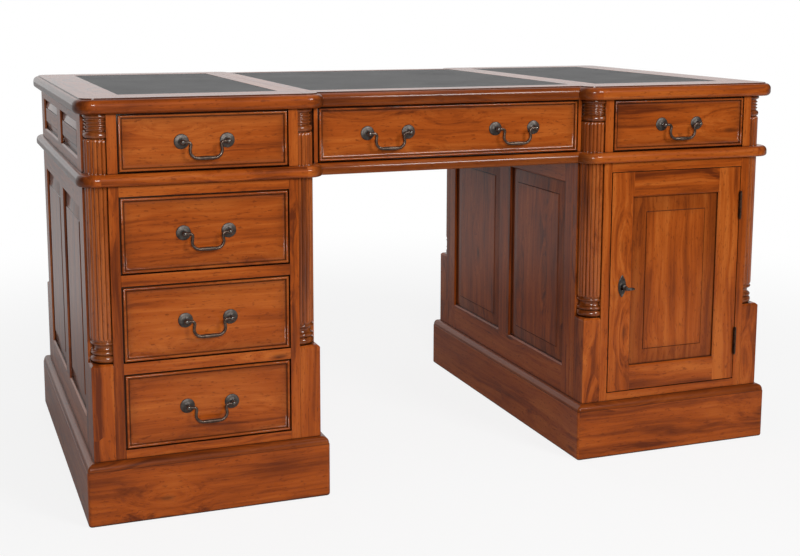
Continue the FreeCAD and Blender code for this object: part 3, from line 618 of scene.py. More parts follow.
def solids_of(node):
    """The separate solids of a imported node, each as a clean mesh of whole faces."""
    whole = bmesh.new()
    whole.from_mesh(frame["nodes"][node].data)
    bmesh.ops.remove_doubles(whole, verts=whole.verts, dist=same_spot)
    seen = set()
    solids = []
    for first in whole.faces:
        if first in seen:
            continue
        seen.add(first)
        group = []
        waiting = [first]
        while waiting:
            face = waiting.pop()
            group.append(face)
            for edge in face.edges:
                for other in edge.link_faces if len(edge.link_faces) == 2 else ():
                    if other not in seen:
                        seen.add(other)
                        waiting.append(other)
        solid = bmesh.new()
        copies = {}
        for face in group:
            for v in face.verts:
                if v not in copies:
                    copies[v] = solid.verts.new(v.co)
            solid.faces.new([copies[v] for v in face.verts])
        bmesh.ops.dissolve_limit(solid, angle_limit=math.radians(0.5), verts=solid.verts,
                                 edges=solid.edges)
        solids.append(solid)
    whole.free()
    return solids


def ease_edges(bm, width, steps=2):
    """Small rounds on the sharp edges of a board."""
    sharp = [e for e in bm.edges if e.is_manifold and e.calc_face_angle(0) > math.radians(24)]
    bmesh.ops.bevel(bm, geom=sharp, offset=width, segments=steps, profile=0.5, affect="EDGES",
                    clamp_overlap=True, offset_type="OFFSET")


def loft(bm, rings, closed=False):
    """Skins rings of points one after another. closed joins the last ring to the first, and
    otherwise both ends are capped. Gives the new corners, ring by ring."""
    loops = [[bm.verts.new(point) for point in ring] for ring in rings]
    for near, far in zip(loops, loops[1:] + loops[:1] if closed else loops[1:]):
        for i in range(len(near)):
            bm.faces.new([near[i - 1], near[i], far[i], far[i - 1]])
    if not closed:
        bm.faces.new(loops[0][::-1])
        bm.faces.new(loops[-1])
    return loops


def moulded(profile, ring_at, closed=False):
    """A board skinned over a profile of (inset, level, darkening), and the darkening of each
    corner, which is glaze together with painted shade.
    """
    bm = bmesh.new()
    loops = loft(bm, [ring_at(inset * mm, level * mm) for inset, level, _ in profile], closed)
    outward(bm)
    return bm, {v: stain_and_shade for loop, (_, _, stain_and_shade) in zip(loops, profile) for v in loop}


def square_ring(low, high, thin, level, inset):
    """Corners of a rectangle at a level of the thin axis, drawn in from a box by inset."""
    a, b = [i for i in range(3) if i != thin]
    ring = []
    for far_a, far_b in ((0, 0), (1, 0), (1, 1), (0, 1)):
        spot = Vector()
        spot[thin] = level
        spot[a] = high[a] - inset if far_a else low[a] + inset
        spot[b] = high[b] - inset if far_b else low[b] + inset
        ring.append(spot)
    return ring


def line_mesh(name, points, bends=None, closed=False):
    """A line of edges for a tree to work on, with the bend radius at each point."""
    made = bpy.data.meshes.new(name)
    count = len(points)
    edges = [(i, (i + 1) % count) for i in range(count if closed else count - 1)]
    made.from_pydata(points, edges, [])
    if bends:
        made.attributes.new("bend", "FLOAT", "POINT").data.foreach_set("value", bends)
    return made


def turned_metal(name, profile, sides, material):
    """A small plain turning about Z from a profile of (radius, reach)."""
    line = line_mesh(name + "_line", [(r * mm, -1.0, reach * mm) for r, reach in profile])
    return turning.make(name, line, {"Sides": sides, "Reeds": 0, "Reed depth": 0.0,
                                     "Material": material})


def turned_pin(name, profile, sides):
    """A small bronze turning that lies along Y, its far end towards the front."""
    made = turned_metal(name, profile, sides, bronze)
    made.transform(Matrix.Rotation(math.radians(90), 4, "X"))
    return made


def metal_piece(name, bm, material, body, node):
    """A finished piece in one metal."""
    outward(bm)
    mesh = bpy.data.meshes.new(name)
    bm.to_mesh(mesh)
    bm.free()
    mesh.materials.clear()
    mesh.materials.append(material)
    shade_mesh(mesh, 40)
    new_piece(name, mesh, body, node)


def wood_piece(node, body, material, slot="mahogany", axis=None, bevel=edge_bevel,
               ribbon=plain_ribbon, edge_glaze_and_shade=0.0, rail_tone=None):
    """A node's boards with eased edges, each with its grain along its length or a given axis.
    glazed darkens their edges below the face with glaze and painted shade, and rail_tone gives the
    level boards one tone."""
    pile = Pile()
    for solid in solids_of(node):
        run = longest_axis(solid) if axis is None else axis
        offset, tone, stripes = new_cut(ribbon)
        if rail_tone is not None and run == 0:
            tone = rail_tone
        low, high = reach_of(solid)
        thin = min(range(3), key=lambda i: high[i] - low[i])

        def stain_and_shade_of(v):
            depth = min(v.co[thin] - low[thin], high[thin] - v.co[thin])
            # Edges deeper than the face are darkened: glaze and painted shade in the recess
            return edge_glaze_and_shade if depth > edge_darkening_depth else 0.0

        ease_edges(solid, bevel)
        pile.add(solid, lambda face: (run, offset, tone, stripes), stain_and_shade_of)
    pile.piece(node + "_wood", node, body, material, slot)


# Top board, waist board and leathers

def break_outline(half_width, half_depth, inner, inset):
    """Outline of a breakfront board drawn in by inset, anticlockwise from its front left corner."""
    r = corner_round - inset
    cy = -(half_depth - corner_round)
    centre_y = -(half_depth - break_setback) + inset
    stop = min(0.0, math.asin(max(-1.0, min(1.0, (centre_y - cy) / r))))
    half = []

    def arc(cx, first, last):
        for i in range(corner_steps + 1):
            a = first + (last - first) * i / corner_steps
            half.append((cx + r * math.cos(a), cy + r * math.sin(a)))

    arc(-(half_width - corner_round), math.pi, math.pi * 1.5)
    arc(-(inner + corner_round), math.pi * 1.5, math.tau + stop)
    half.append((half[-1][0], centre_y))
    front = half + [(-x, y) for x, y in reversed(half)]
    return front + [(-x, -y) for x, y in front]


def break_board(low, high, inner, profile):
    """Breakfront board with a nose all round. profile runs from its under face to its upper."""
    bm = bmesh.new()
    middle = (low.y + high.y) / 2
    half_depth = (high.y - low.y) / 2
    loft(bm, [[(x, y + middle, z) for x, y in break_outline(high.x, half_depth, inner, inset)]
              for inset, z in profile])
    bmesh.ops.remove_doubles(bm, verts=bm.verts, dist=same_spot)
    return bm


def nose_profile(foot, head, under_round, under_steps):
    """Inset and height of a board's nose: a small round below and a larger one above."""
    under = [(under_round - under_round * math.sin(a), foot + under_round * (1 - math.cos(a)))
             for a in quarter_turn(under_steps)]
    return under + [(nose_round * (1 - math.cos(a)), head - nose_round + nose_round * math.sin(a))
                    for a in quarter_turn(nose_steps)]


def cut_across(bm, axis, place):
    """Scores a mesh all round at a place along an axis."""
    way = Vector([float(i == axis) for i in range(3)])
    bmesh.ops.bisect_plane(bm, geom=everything(bm), dist=cut_slack, plane_co=way * place,
                           plane_no=way)


def end_grain(v):
    """Deeper stain where a rounded corner turns across the grain of the front and rear boards."""
    return end_stain * min(1.0, max(0.0, abs(v.normal.x) - end_start) / end_range)


def sink_bed(bm, level, centre):
    """Lets the face at the middle of a leather down into the top."""
    for face in bm.faces:
        spot = face.calc_center_median()
        aside = (spot.xy - centre.xy).length
        if face.normal.z > 0.9 and spot.z > level - 1e-5 and aside < 1 * mm:
            rim = face.verts[:]
            floor = [bm.verts.new(v.co - Vector((0, 0, leather_depth))) for v in rim]
            bm.faces.new(floor)
            for i in range(len(rim)):
                bm.faces.new([rim[i - 1], rim[i], floor[i], floor[i - 1]])
            bm.faces.remove(face)
            return


def make_top():
    low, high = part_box("top_board")
    shoulder = high.z - nose_step
    profile = nose_profile(low.z, shoulder, top_under_round, 7)
    profile += [(inset * mm, high.z + z * mm) for inset, z in nose_quirk]
    bm = break_board(low, high, top_break, profile)
    beds = [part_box("leather_" + side) for side in leather_sides]
    front, rear = beds[0][0].y, beds[0][1].y
    scores = [(0, end.x) for bed in beds for end in bed] + [(1, front), (1, rear)]
    scores += [(0, x + step) for x in (-board_joint, board_joint)
               for step in (-joint_width, 0.0, joint_width)]
    for axis, place in scores:
        cut_across(bm, axis, place)
    for v in bm.verts:
        if abs(abs(v.co.x) - board_joint) < same_spot and v.co.z > high.z - same_spot:
            v.co.z -= joint_depth
    for bed in beds:
        sink_bed(bm, high.z, (bed[0] + bed[1]) / 2)
    cuts = Cuts()

    def run_of(face):
        spot = face.calc_center_median()
        if front <= spot.y <= rear:
            return (1, *cuts["between", round(spot.x / board_joint)])
        strip = "front" if spot.y < front else "rear"
        return (0, *cuts[strip, (spot.x >= -board_joint) + (spot.x >= board_joint)])

    def stain_and_shade_of(v):
        # The quirk under the nose's shoulder is darkened: glaze and painted shade in the groove
        if shoulder - quirk_slack < v.co.z < high.z - quirk_slack:
            return quirk_glaze_and_shade
        return end_grain(v) if v.co.z < shoulder and not front < v.co.y < rear else 0.0

    bm.normal_update()
    pile = Pile()
    pile.add(bm, run_of, stain_and_shade_of)
    pile.piece("top_board_wood", "top_board", "carcass", mahogany)


def make_waist():
    low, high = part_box("waist_board")
    bm = break_board(low, high, waist_break,
                     nose_profile(low.z, high.z, waist_under_round, 6))
    end = high.x - waist_end
    joints = (-end, -board_joint, board_joint, end)
    for x in joints:
        cut_across(bm, 0, x)
    cuts = [new_cut() for _ in range(len(joints) + 1)]
    middle = (low.y + high.y) / 2
    straight = (high.y - low.y) / 2 - corner_round - corner_slack

    def run_of(face):
        board = sum(face.calc_center_median().x > x for x in joints)
        return (1 if board in (0, len(joints)) else 0, *cuts[board])

    bm.normal_update()
    pile = Pile()
    pile.add(bm, run_of, lambda v: end_grain(v) if abs(v.co.y - middle) > straight else 0.0)
    pile.piece("waist_board_wood", "waist_board", "carcass", mahogany)


def make_leathers():
    for side in leather_sides:
        node = "leather_" + side
        pile = Pile()
        for solid in solids_of(node):
            ease_edges(solid, edge_bevel, 3)
            pile.add(solid, lambda face: (0, (0, 0, 0), 0.5, 0.0))
        pile.piece(node + "_skin", node, "carcass", leather, "leather")


# Columns

column_base = [("bead", 15, 23), ("bead", 8, 25.5), ("cove", 11, 27), ("bead", 6, 27),
               ("band", 2, 28)]
column_capital = [("bead", 13.5, 24), ("cove", 2.8, 26.5), ("bead", 3.6, 26.2),
                  ("cove", 2.8, 26.2), ("bead", 3.6, 26), ("cove", 2.8, 26),
                  ("bead", 3.6, 26.2), ("cove", 3.8, 26.8), ("bead", 8.5, 26.6)]


def stack_height(stack):
    return sum(height * mm for _, height, _ in stack)


def stack_profile(stack, z):
    """Turned profile from (kind, height, radius) upwards from z, as (radius, reed, height)."""
    points = []
    for kind, height, radius in stack:
        height, radius = height * mm, radius * mm
        bulge = {"bead": height / 2, "cove": -height / 3, "band": 0.0}[kind]
        steps = 10 if bulge else 1
        for i in range(steps + 1):
            a = math.pi * i / steps
            points.append((radius + bulge * math.sin(a), -1.0, z + height * (1 - math.cos(a)) / 2))
        z += height
    return points


def shaft_profile(z0, z1, tips_at_foot):
    """Reeded shaft whose reeds end in rounded tips at its foot or its head."""
    shares = [math.sin(a) for a in quarter_turn(9)]
    if tips_at_foot:
        tips = [(reed_crown, share, z0 + reed_head * (1 - share)) for share in reversed(shares)]
        return tips + [(reed_crown, 0.0, z1)]
    return [(reed_crown, 0.0, z0)] + [(reed_crown, share, z1 - reed_head * (1 - share))
                                      for share in shares]


def planed_column(node, profile):
    """One turned column, planed on two sides to fit its notch."""
    closed = [(0.0, -1.0, profile[0][2])] + profile + [(0.0, -1.0, profile[-1][2])]
    blank = turning.make(node + "_blank", line_mesh(node + "_line", closed),
                         {"Sides": reed_count * reed_steps, "Reeds": reed_count,
                          "Reed depth": reed_depth, "Material": turned})
    bm = bmesh.new()
    bm.from_mesh(blank)
    outward(bm)
    bmesh.ops.rotate(bm, verts=bm.verts, cent=(0, 0, 0),
                     matrix=Matrix.Rotation(math.radians(225), 3, "Z"))
    bmesh.ops.translate(bm, verts=bm.verts, vec=(column_inset, column_inset, 0))
    for normal in ((1, 0, 0), (0, 1, 0)):
        cut = bmesh.ops.bisect_plane(bm, geom=everything(bm), dist=cut_slack, plane_no=normal,
                                     plane_co=(column_notch, column_notch, 0), clear_outer=True)
        rim = [g for g in cut["geom_cut"] if isinstance(g, bmesh.types.BMEdge)]
        bmesh.ops.contextual_create(bm, geom=rim)
    planed = bpy.data.meshes.new(node + "_planed")
    bm.to_mesh(planed)
    bm.free()
    return planed


def make_columns(node, profile):
    """Turns one column and sets it in all eight corners."""
    plain = [z for _, reed, z in profile if reed < 0]
    rings = min(plain) - 1 * mm, max(plain) + 0.1 * mm
    low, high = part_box("posts_left")
    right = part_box("posts_right")
    made = corners.make(node + "_set", planed_column(node, profile),
                        {"Spread": (right[0].x + right[1].x) / 2, "Width": high.x - low.x,
                         "Depth": high.y - low.y, "Middle": (high.y + low.y) / 2,
                         "Material": turned})
    bm = bmesh.new()
    bm.from_mesh(made)
    cuts = Cuts(post_ribbon)

    def run_of(face):
        spot = face.calc_center_median()
        return (2, *cuts[round(spot.x / column_pitch), spot.y > 0])

    pile = Pile()
    # The turned rings of the base and capital are darker than the reeds
    pile.add(bm, run_of, lambda v: ring_darkening if rings[0] < v.co.z < rings[1] else 0.0)
    pile.piece(node + "_turned", node, "carcass", turned, "turned_mahogany", 42, even=False)


def make_all_columns():
    low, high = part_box("pedestal_columns")
    shaft = shaft_profile(low.z + stack_height(column_base), high.z, True)
    make_columns("pedestal_columns", stack_profile(column_base, low.z) + shaft)
    low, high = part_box("frieze_columns")
    cap_foot = high.z - stack_height(column_capital)
    shaft = shaft_profile(low.z, cap_foot, False)
    make_columns("frieze_columns", shaft + stack_profile(column_capital, cap_foot))


# Drawers

drawer_names = ["frieze_drawer_left", "frieze_drawer_right", "frieze_drawer_centre",
                "pedestal_drawer_bottom", "pedestal_drawer_middle", "pedestal_drawer_top"]
bail_line = [(-41.2, 0.0), (-26.8, 0.0), (-32.0, -29.5), (32.0, -29.5), (26.8, 0.0), (41.2, 0.0)]
bail_bends = [0.0, 5.5 * mm, 14 * mm, 14 * mm, 5.5 * mm, 0.0]

# Domed rosette, neck and ball of a handle post, as (radius, reach)
post_profile = [(0.0, 0.0), (13.6, 0.0), (13.8, 0.7), (13.5, 1.3), (12.4, 1.6), (11.8, 1.8),
                (10.2, 2.2), (8.0, 2.6), (6.4, 2.8), (5.6, 3.6), (4.8, 3.9), (3.6, 4.6),
                (3.1, 7.0), (3.1, 9.6), (4.0, 10.2), (4.2, 10.7)]
post_profile += [(4.8 * math.sin(a), 15.0 - 4.6 * math.cos(a))
                 for a in [math.pi * (0.14 + 0.86 * i / 11) for i in range(1, 12)]]


def front_profile(thickness):
    """Inset, depth and darkening of a drawer front's rebate, bead, quirk, cove and feathered field.
    The darkening is glaze, with painted shade in the gap at the rebate and in the quirk and cove.
    """
    points = [(0.0, thickness, 0.5), (0.0, 8.6, 0.9), (1.5, 8.4, 0.9), (1.5, 3.0, 0.6)]
    for share in [i / 10 for i in range(1, 10)]:
        a = math.pi * share
        points.append((3.9 - 2.4 * math.cos(a),
                       2.6 - 2.6 * math.sin(a) + 0.4 * (1 - share), 0.22))
    points += [(6.3, 2.6, 0.4), (6.7, 3.7, 0.6), (7.8, 3.6, 0.6), (8.2, 2.6, 0.45)]
    for share in [i / 8 for i in range(1, 9)]:
        a = math.pi / 2 * share
        points.append((8.2 + 5.8 * (1 - math.cos(a)), 2.6 + 2.4 * math.sin(a),
                       0.45 - 0.23 * share))
    return points + [(14.6, 5.0, 0.22), (22.0, 5.0, 0.09), (36.0, 5.0, 0.0)]


def make_front(name):
    node = name + "_front"
    low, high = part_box(node)
    bm, stains_and_shade = moulded(front_profile((high.y - low.y) / mm), lambda inset, depth:
                         square_ring(low, high, 1, low.y + depth, inset))
    cut = new_cut(front_ribbon)
    pile = Pile()
    pile.add(bm, lambda face: (0, *cut), stains_and_shade.get)
    pile.piece(node + "_wood", node, name, mahogany, sharp=40)


def make_handles(name, labels):
    """Posts on the drawer and a bail for each handle."""
    node = name + "_handle_posts"
    low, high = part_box(node)
    centre = (low + high) / 2
    bails = [name + "_bail" + label for label in labels]
    places = [sum(end.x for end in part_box(bail)) / 2 for bail in bails]
    post = turned_pin(name + "_post", post_profile, 28)
    bm = bmesh.new()
    bm.from_mesh(post)
    outward(bm)
    bm.to_mesh(post)
    bm.free()
    posts = pairs.make(name + "_posts", post,
                       {"Handles": len(bails), "Spread": (places[-1] - places[0]) / 2,
                        "Centres": handle_centres, "Place": (centre.x, high.y, centre.z),
                        "Material": bronze})
    posts.set_sharp_from_angle(angle=math.radians(50))
    rub = [float(v.co.y < high.y - ball_foot) for v in posts.vertices]
    posts.attributes.new("rub", "FLOAT", "POINT").data.foreach_set("value", rub)
    new_piece(name + "_rosettes", posts, name, node)
    for bail, x in zip(bails, places):
        line = line_mesh(bail + "_line", [(px * mm, 0.0, pz * mm) for px, pz in bail_line],
                         bail_bends)
        bent = wires.make(bail + "_wire", line,
                          {**bail_wire, "Place": (x, high.y - pivot_reach, centre.z),
                           "Material": rubbed_bronze})
        new_piece(bail + "_wire", bent, bail, bail)


def make_drawers():
    for name in drawer_names:
        make_front(name)
        wood_piece(name + "_box", name, inner_wood, "inner_wood", bevel=box_bevel)
        make_handles(name, ["_left", "_right"] if name.endswith("centre") else [""])


# Carcass and door

def plinth_profile(top):
    """Inset, height and darkening round a plinth board: a rounded foot, a fine quirk and a quarter
    round along the top. The darkening is glaze with painted shade, deepest in the quirk."""
    points = [(plinth_thickness, top, 0.2), (plinth_thickness, 0.0, 0.2)]
    for share in [i / 4 for i in range(5)]:
        a = math.pi / 2 * share
        points.append((plinth_foot * (1 - math.sin(a)), plinth_foot * (1 - math.cos(a)),
                       0.3 * (1 - share)))
    points += [(0.0, top - 14.4, 0.0), (0.9, top - 14.0, 0.7), (0.9, top - 13.2, 0.7)]
    return points + [(1.0 + 12 * (1 - math.cos(a)),
                      top - plinth_round + plinth_round * math.sin(a), 0.4)
                     for a in quarter_turn(8)]


def round_ring(low, high, inset, z):
    """A rectangle with small round corners, drawn in from a box by inset."""
    r = max(plinth_corner - inset, 0.4 * mm)
    x0, x1 = low.x + inset + r, high.x - inset - r
    y0, y1 = low.y + inset + r, high.y - inset - r
    ring = []
    for k, (x, y) in enumerate(((x0, y0), (x1, y0), (x1, y1), (x0, y1))):
        for i in range(6):
            a = math.pi + math.pi / 2 * (k + i / 5)
            ring.append((x + r * math.cos(a), y + r * math.sin(a), z))
    return ring


def make_plinth(node):
    """Four mitred boards."""
    low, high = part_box(node)
    bm, stains_and_shade = moulded(plinth_profile((high.z - low.z) / mm), lambda inset, z:
                         round_ring(low, high, inset, low.z + z), closed=True)
    cuts = [new_cut(plinth_ribbon) for _ in range(4)]

    def run_of(face):
        spot = face.calc_center_median()
        away = [spot.y - low.y, high.y - spot.y, spot.x - low.x, high.x - spot.x]
        side = away.index(min(away))
        return (0 if side < 2 else 1, *cuts[side])

    pile = Pile()
    pile.add(bm, run_of, stains_and_shade.get)
    pile.piece(node + "_wood", node, "carcass", mahogany, sharp=40)


def panel_profile(border, feather, back):
    """Inset from the frame, depth and darkening of a panel: its tongue, a splayed border, a fine
    dark quirk and a raised field with a feathered edge. The darkening is glaze with painted shade
    against the frame and in the quirk."""
    edge = 1 - panel_tongue
    return [(edge, back, 0.0), (edge, 9.1, 0.0), (0.1, 9.1, 0.6), (0.1, 6.6, 0.75),
            (1.2, 6.5, 0.6), (3.6, 6.2, 0.34), (border - 1.6, 3.3, 0.24),
            (border - 1.0, 4.1, 0.7), (border - 0.4, 3.9, 0.65), (border + 0.3, 2.3, 0.25),
            (border + 1.0, panel_sink, 0.16), (border + feather * 0.45, panel_sink, 0.06),
            (border + feather, panel_sink, 0.0)]


def make_panels(node, body, axis=None, ribbon=plain_ribbon):
    """Fielded panels in their grooves. The side with the smaller flat is the one that shows."""
    pile = Pile()
    for solid in solids_of(node):
        low, high = reach_of(solid)
        size = high - low
        thin = min(range(3), key=lambda i: size[i])
        a, b = [i for i in range(3) if i != thin]
        near = [v.co[a] for v in solid.verts if v.co[thin] < low[thin] + 1e-5]
        far = [v.co[a] for v in solid.verts if v.co[thin] > high[thin] - 1e-5]
        field, facing = min((max(near) - min(near), -1), (max(far) - min(far), 1))
        solid.free()
        border = (size[a] - field) / 2 / mm - panel_tongue
        room = min(size[a], size[b]) / 2 / mm - panel_tongue - border
        face = (low if facing < 0 else high)[thin] + facing * panel_sink * mm
        profile = panel_profile(border, min(panel_feather, 0.6 * room),
                                size[thin] / mm + panel_sink)
        bm, stains_and_shade = moulded(profile, lambda inset, depth:
                             square_ring(low, high, thin, face - facing * depth,
                                         panel_tongue * mm + inset))
        run = longest_axis(bm) if axis is None else axis
        cut = new_cut(ribbon)
        pile.add(bm, lambda face: (run, *cut), stains_and_shade.get)
    pile.piece(node + "_wood", node, body, mahogany, sharp=24)


def make_boards():
    for node in ("frieze_posts", "posts_left", "posts_right", "corner_blocks"):
        wood_piece(node, "carcass", mahogany, axis=2, ribbon=post_ribbon)
    for node in ("frieze_end_frames", "back_frames", "side_frames_left", "side_frames_right"):
        wood_piece(node, "carcass", mahogany, edge_glaze_and_shade=0.5)
    wood_piece("front_rails", "carcass", mahogany)
    make_panels("frieze_end_panels", "carcass")
    make_plinth("plinth_left")
    make_plinth("plinth_right")
    for node in ("side_panels_left", "side_panels_right", "back_panels"):
        make_panels(node, "carcass", 2)
    for node in ("frieze_partitions", "drawer_runners", "pedestal_floors", "cupboard_shelf",
                 "shelf_battens"):
        wood_piece(node, "carcass", inner_wood, "inner_wood")
    wood_piece("door_frame", "door", mahogany, ribbon=0.6, edge_glaze_and_shade=0.6, rail_tone=0.1)
    make_panels("door_panel", "door", 2, 0.3)


# Lock, key and hinges

def escutcheon_ring(centre, share, y, count=72):
    """A ring of the escutcheon, from its waisted outline at share 0 to its keyhole at share 1."""
    ring = []
    for i in range(count):
        a = math.tau * i / count
        up, along = math.cos(a), math.sin(a)
        outer = 1 / math.hypot(up / 19.5, along / 9.0) + 4.2 * math.exp(-(along / 0.13) ** 2)
        hole = 3.4
        if up <= 0 and abs(along) <= 0.64:
            hole = min(8.4 / -up, 2.8 / max(abs(along), 1e-6))
        reach = (outer + (hole - outer) * share) * mm
        ring.append((centre[0] + reach * along, y, centre[1] + reach * up))
    return ring


def make_lock():
    """The lock's case as packed, under a waisted escutcheon with a raised rim, a keyhole and two
    pins."""
    key_low, key_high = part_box("key")
    plate, bm = sorted(solids_of("door_lock"), key=lambda s: reach_of(s)[0].y)[:2]
    low, high = reach_of(plate)
    face = low.y
    thickness = (max(v.co.y for v in plate.verts if v.co.y < face + plate_limit) - face) / mm
    plate.free()
    centre = ((key_low.x + key_high.x) / 2, (low.z + high.z) / 2)
    section = [(0.0, thickness), (0.0, 0.5), (0.05, 0.15), (0.12, 0.0), (0.2, 0.2), (0.27, 0.8),
               (0.8, 0.8), (0.88, 0.25), (0.95, 0.2), (1.0, 0.6), (1.0, thickness)]
    loft(bm, [escutcheon_ring(centre, share, face + depth * mm) for share, depth in section],
         closed=True)
    head = turned_pin("escutcheon_pin",
                      [(0.0, 0.0), (1.3, 0.0), (1.2, 0.5), (0.8, 0.9), (0.0, 1.1)], 12)
    for z in escutcheon_pins:
        pin = head.copy()
        pin.transform(Matrix.Translation((centre[0], face + pin_seat, centre[1] + z * mm)))
        bm.from_mesh(pin)
    metal_piece("door_lock_metal", bm, bronze, "door", "door_lock")


# Key shank as (radius, distance from the back of the bow)
key_rings = [(3.0, -11.5), (4.4, -11.2), (4.5, -9.8), (3.3, -9.2), (3.3, -8.6), (4.1, -8.3),
             (4.1, -7.4), (2.9, -6.9), (2.7, -3.0), (3.6, -1.6), (3.4, -0.4), (2.0, 0.9),
             (0.0, 1.4)]
key_bit = [(0.0, 0.0), (5.0, 0.0), (5.0, -8.0), (3.4, -8.0), (3.4, -5.4), (2.1, -5.4), (2.1, -8.0),
           (0.0, -8.0)]
key_bow = [(11.3 * math.cos(a) * mm, 6.8 * math.sin(a) * mm, 0.0)
           for a in [math.tau * i / 40 for i in range(40)]]


def make_key():
    """Key with a ringed shank, an oval bow that lies level, and a notched bit."""
    low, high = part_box("key")
    x = (low.x + high.x) / 2
    z = high.z - key_collar
    length = (high.y - low.y) / mm - bow_length
    shank = turned_pin("key_shank", [(0.0, 0.0), (3.0, 0.0)]
                       + [(radius, length + along) for radius, along in key_rings], 24)
    shank.transform(Matrix.Translation((x, high.y, z)))
    line = line_mesh("key_bow_line", key_bow, [0.0] * len(key_bow), closed=True)
    bow = wires.make("key_bow", line, {**bow_wire, "Place": (x, low.y + bow_middle, z),
                                       "Material": bronze})
    bm = bmesh.new()
    bm.from_mesh(shank)
    bm.from_mesh(bow)
    loft(bm, [[(x + half * mm, high.y - bit_length + y * mm, z + up * mm) for y, up in key_bit]
              for half in (-bit_half, bit_half)])
    metal_piece("key_metal", bm, bronze, "key", "key")


def add_slab(bm, low, high):
    """A plain plate between two corners."""
    spots = [bm.verts.new((x, y, z)) for x in (low[0], high[0]) for y in (low[1], high[1])
             for z in (low[2], high[2])]
    for face in ((0, 1, 3, 2), (4, 6, 7, 5), (0, 4, 5, 1), (2, 3, 7, 6), (0, 2, 6, 4),
                 (1, 5, 7, 3)):
        bm.faces.new([spots[i] for i in face])


def knuckle_profile(start, end, tip):
    """A knuckle as (radius, height), with a ball tip below it at -1 or above it at 1."""
    ball = [(knuckle_end, 0.0), (1.3, 0.3), (1.9, 1.4), (1.4, 2.4), (0.0, 2.8)]
    foot = [(0.0, start), (knuckle_end, start)]
    head = [(knuckle_end, end), (0.0, end)]
    if tip < 0:
        foot = [(radius, start - reach) for radius, reach in reversed(ball)]
    elif tip > 0:
        head = [(radius, end + reach) for radius, reach in ball]
    return foot + [(knuckle_radius, start + knuckle_ease),
                   (knuckle_radius, end - knuckle_ease)] + head


def make_hinges():
    """Butt hinges: leaves let into the wood and slim knuckles on one pin, with ball tips above and
    below."""
    low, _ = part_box("hinge_frame_leaves")
    x, y = low.x + hinge_barrel, low.y + hinge_barrel
    for node, body, side in (("hinge_frame_leaves", "carcass", 1),
                             ("door_hinge_leaves", "door", -1)):
        bm = bmesh.new()
        for solid in solids_of(node):
            foot, head = reach_of(solid)
            solid.free()
            third = (head.z - foot.z) / 3
            knuckles = [(foot.z + third, head.z - third, 0)]
            if side > 0:
                knuckles = [(foot.z, foot.z + third - knuckle_play, -1),
                            (head.z - third + knuckle_play, head.z, 1)]
            inner, outer = sorted((x + side * leaf_inner, x + side * leaf_outer))
            add_slab(bm, (inner, y + leaf_neck, foot.z), (outer, head.y, head.z))
            for start, end, tip in knuckles:
                add_slab(bm, (inner, y, start), (outer, y + leaf_neck, end))
                made = turned_metal(node + "_knuckle", knuckle_profile(start / mm, end / mm, tip),
                                    16, dark_bronze)
                made.transform(Matrix.Translation((x, y, 0)))
                bm.from_mesh(made)
        metal_piece(node + "_metal", bm, dark_bronze, body, node)


def finish_bolt():
    """The lock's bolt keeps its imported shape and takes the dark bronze."""
    data = frame["nodes"]["lock_bolt"].data
    data.materials.clear()
    data.materials.append(dark_bronze)


make_top()
make_waist()
make_leathers()
make_all_columns()
make_drawers()
make_boards()
make_lock()
make_key()
make_hinges()
finish_bolt()


# Floor, light and camera

def make_floor():
    """White floor that keeps a soft shadow near the desk and runs into the white background far
    from it."""
    data = bpy.data.meshes.new("studio_floor")
    data.from_pydata([(-floor_half, -floor_half, 0), (floor_half, -floor_half, 0),
                      (floor_half, floor_half, 0), (-floor_half, floor_half, 0)], [],
                     [(0, 1, 2, 3)])
    paint = Paint("white_floor")
    paint.tree.nodes.remove(paint.shader)
    place = paint.place()
    away = paint.vectors("LENGTH", place)["Value"]
    ahead = paint.node("ShaderNodeSeparateXYZ", Vector=place)["Y"]
    rays = paint.node("ShaderNodeLightPath")
    seen = rays["Is Camera Ray"]
    sweep = paint.ramp(paint.span(ahead, -2.6, -0.9),
                       [(0.0, (0.08, 0.08, 0.08)), (1.0, (0.5, 0.5, 0.5))])
    lit = paint.node("ShaderNodeBsdfDiffuse", Color=paint.blend(seen, sweep, (0.9, 0.9, 0.9)))[0]
    glow = paint.node("ShaderNodeEmission", Color=white, Strength=1.0)[0]
    share = paint.maths("MULTIPLY", seen, paint.span(away, 1.0, 2.6, 0.84, 1.0))
    # For glossy rays only, a band of floor in front of the desk glows white: a painted reflection,
    # not a lamp
    mirrored = paint.maths("MULTIPLY", paint.span(ahead, -1.6, -0.4, 0.0, 0.42),
                           paint.span(away, 0.8, 2.0, 0.15, 1.0))
    mirrored = paint.maths("MULTIPLY", rays["Is Glossy Ray"], mirrored)
    mixed = paint.mix_shaders(paint.maths("MAXIMUM", share, mirrored), lit, glow)
    paint.set(paint.tree.nodes["Material Output"].inputs["Surface"], mixed)
    data.materials.append(paint.material)
    floor = new_object("studio_floor", data)


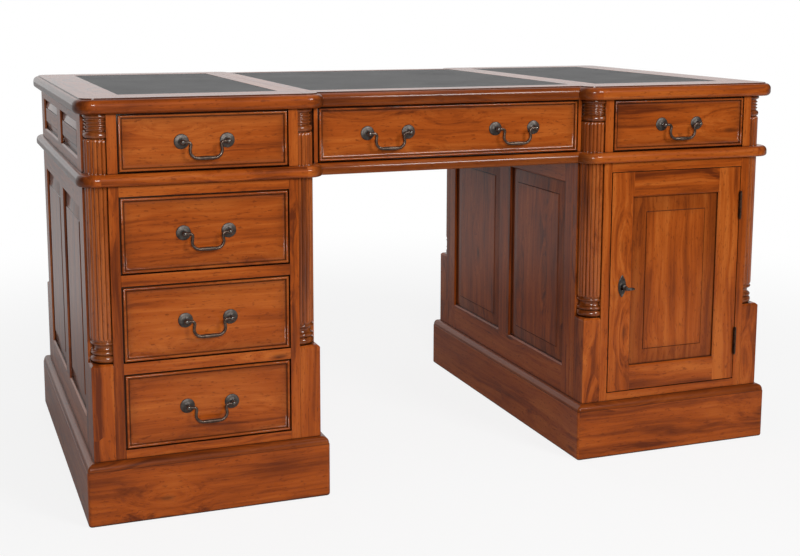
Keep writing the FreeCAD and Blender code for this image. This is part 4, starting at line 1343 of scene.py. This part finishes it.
def make_world():
    """White behind the desk for the eye and for reflections, with a darker room in front and to
    the right, and soft light all round."""
    world = bpy.data.worlds.new("studio")
    bpy.context.scene.world = world
    world.use_nodes = True
    world.node_tree.nodes.clear()
    room = Nodes(world.node_tree)
    rays = room.node("ShaderNodeLightPath")
    way = room.node("ShaderNodeTexCoord")["Generated"]
    axes = room.node("ShaderNodeSeparateXYZ", Vector=way)

    def plain(strength):
        return room.node("ShaderNodeBackground", Color=white, Strength=strength)[0]

    behind = room.maths("MULTIPLY", room.span(axes["Y"], 0.25, 0.7),
                        room.span(axes["X"], 0.55, 0.8, 1.0, 0.0))
    mirrored = room.mix_shaders(behind, plain(room_dark), plain(1.0))
    light = room.mix_shaders(rays["Is Glossy Ray"], plain(soft_light), mirrored)
    light = room.mix_shaders(rays["Is Transmission Ray"], light, plain(1.0))
    light = room.mix_shaders(rays["Is Camera Ray"], light, plain(1.0))
    room.node("ShaderNodeOutputWorld", Surface=light)


def make_light(name, place, target, size, power, mirrored):
    """A soft lamp aimed at a point. One that isn't mirrored stays out of reflections."""
    data = bpy.data.lights.new(name, "AREA")
    data.shape = "RECTANGLE"
    data.size, data.size_y = size
    data.energy = power
    lamp = new_object(name, data)
    lamp.location = place
    lamp.visible_glossy = mirrored
    aim = Vector(target) - Vector(place)
    lamp.rotation_euler = aim.to_track_quat("-Z", "Y").to_euler()


def make_camera():
    """Camera fitted to the corners of the plinths, drawers and door in the photograph."""
    yaw, pitch, roll = (math.radians(angle) for angle in camera_turn)
    data = bpy.data.cameras.new("camera")
    data.sensor_width = sensor_width
    data.lens = focal_pixels / photo_width * sensor_width
    data.shift_y = camera_shift
    camera = new_object("camera", data)
    camera.matrix_world = (Matrix.Translation(camera_place) @ Matrix.Rotation(-yaw, 4, "Z")
                           @ Matrix.Rotation(math.pi / 2 + pitch, 4, "X")
                           @ Matrix.Rotation(roll, 4, "Z"))
    bpy.context.scene.camera = camera


make_floor()
make_world()
for lamp in lamps:
    make_light(*lamp)
make_camera()
bpy.context.scene.view_settings.view_transform = "Standard"
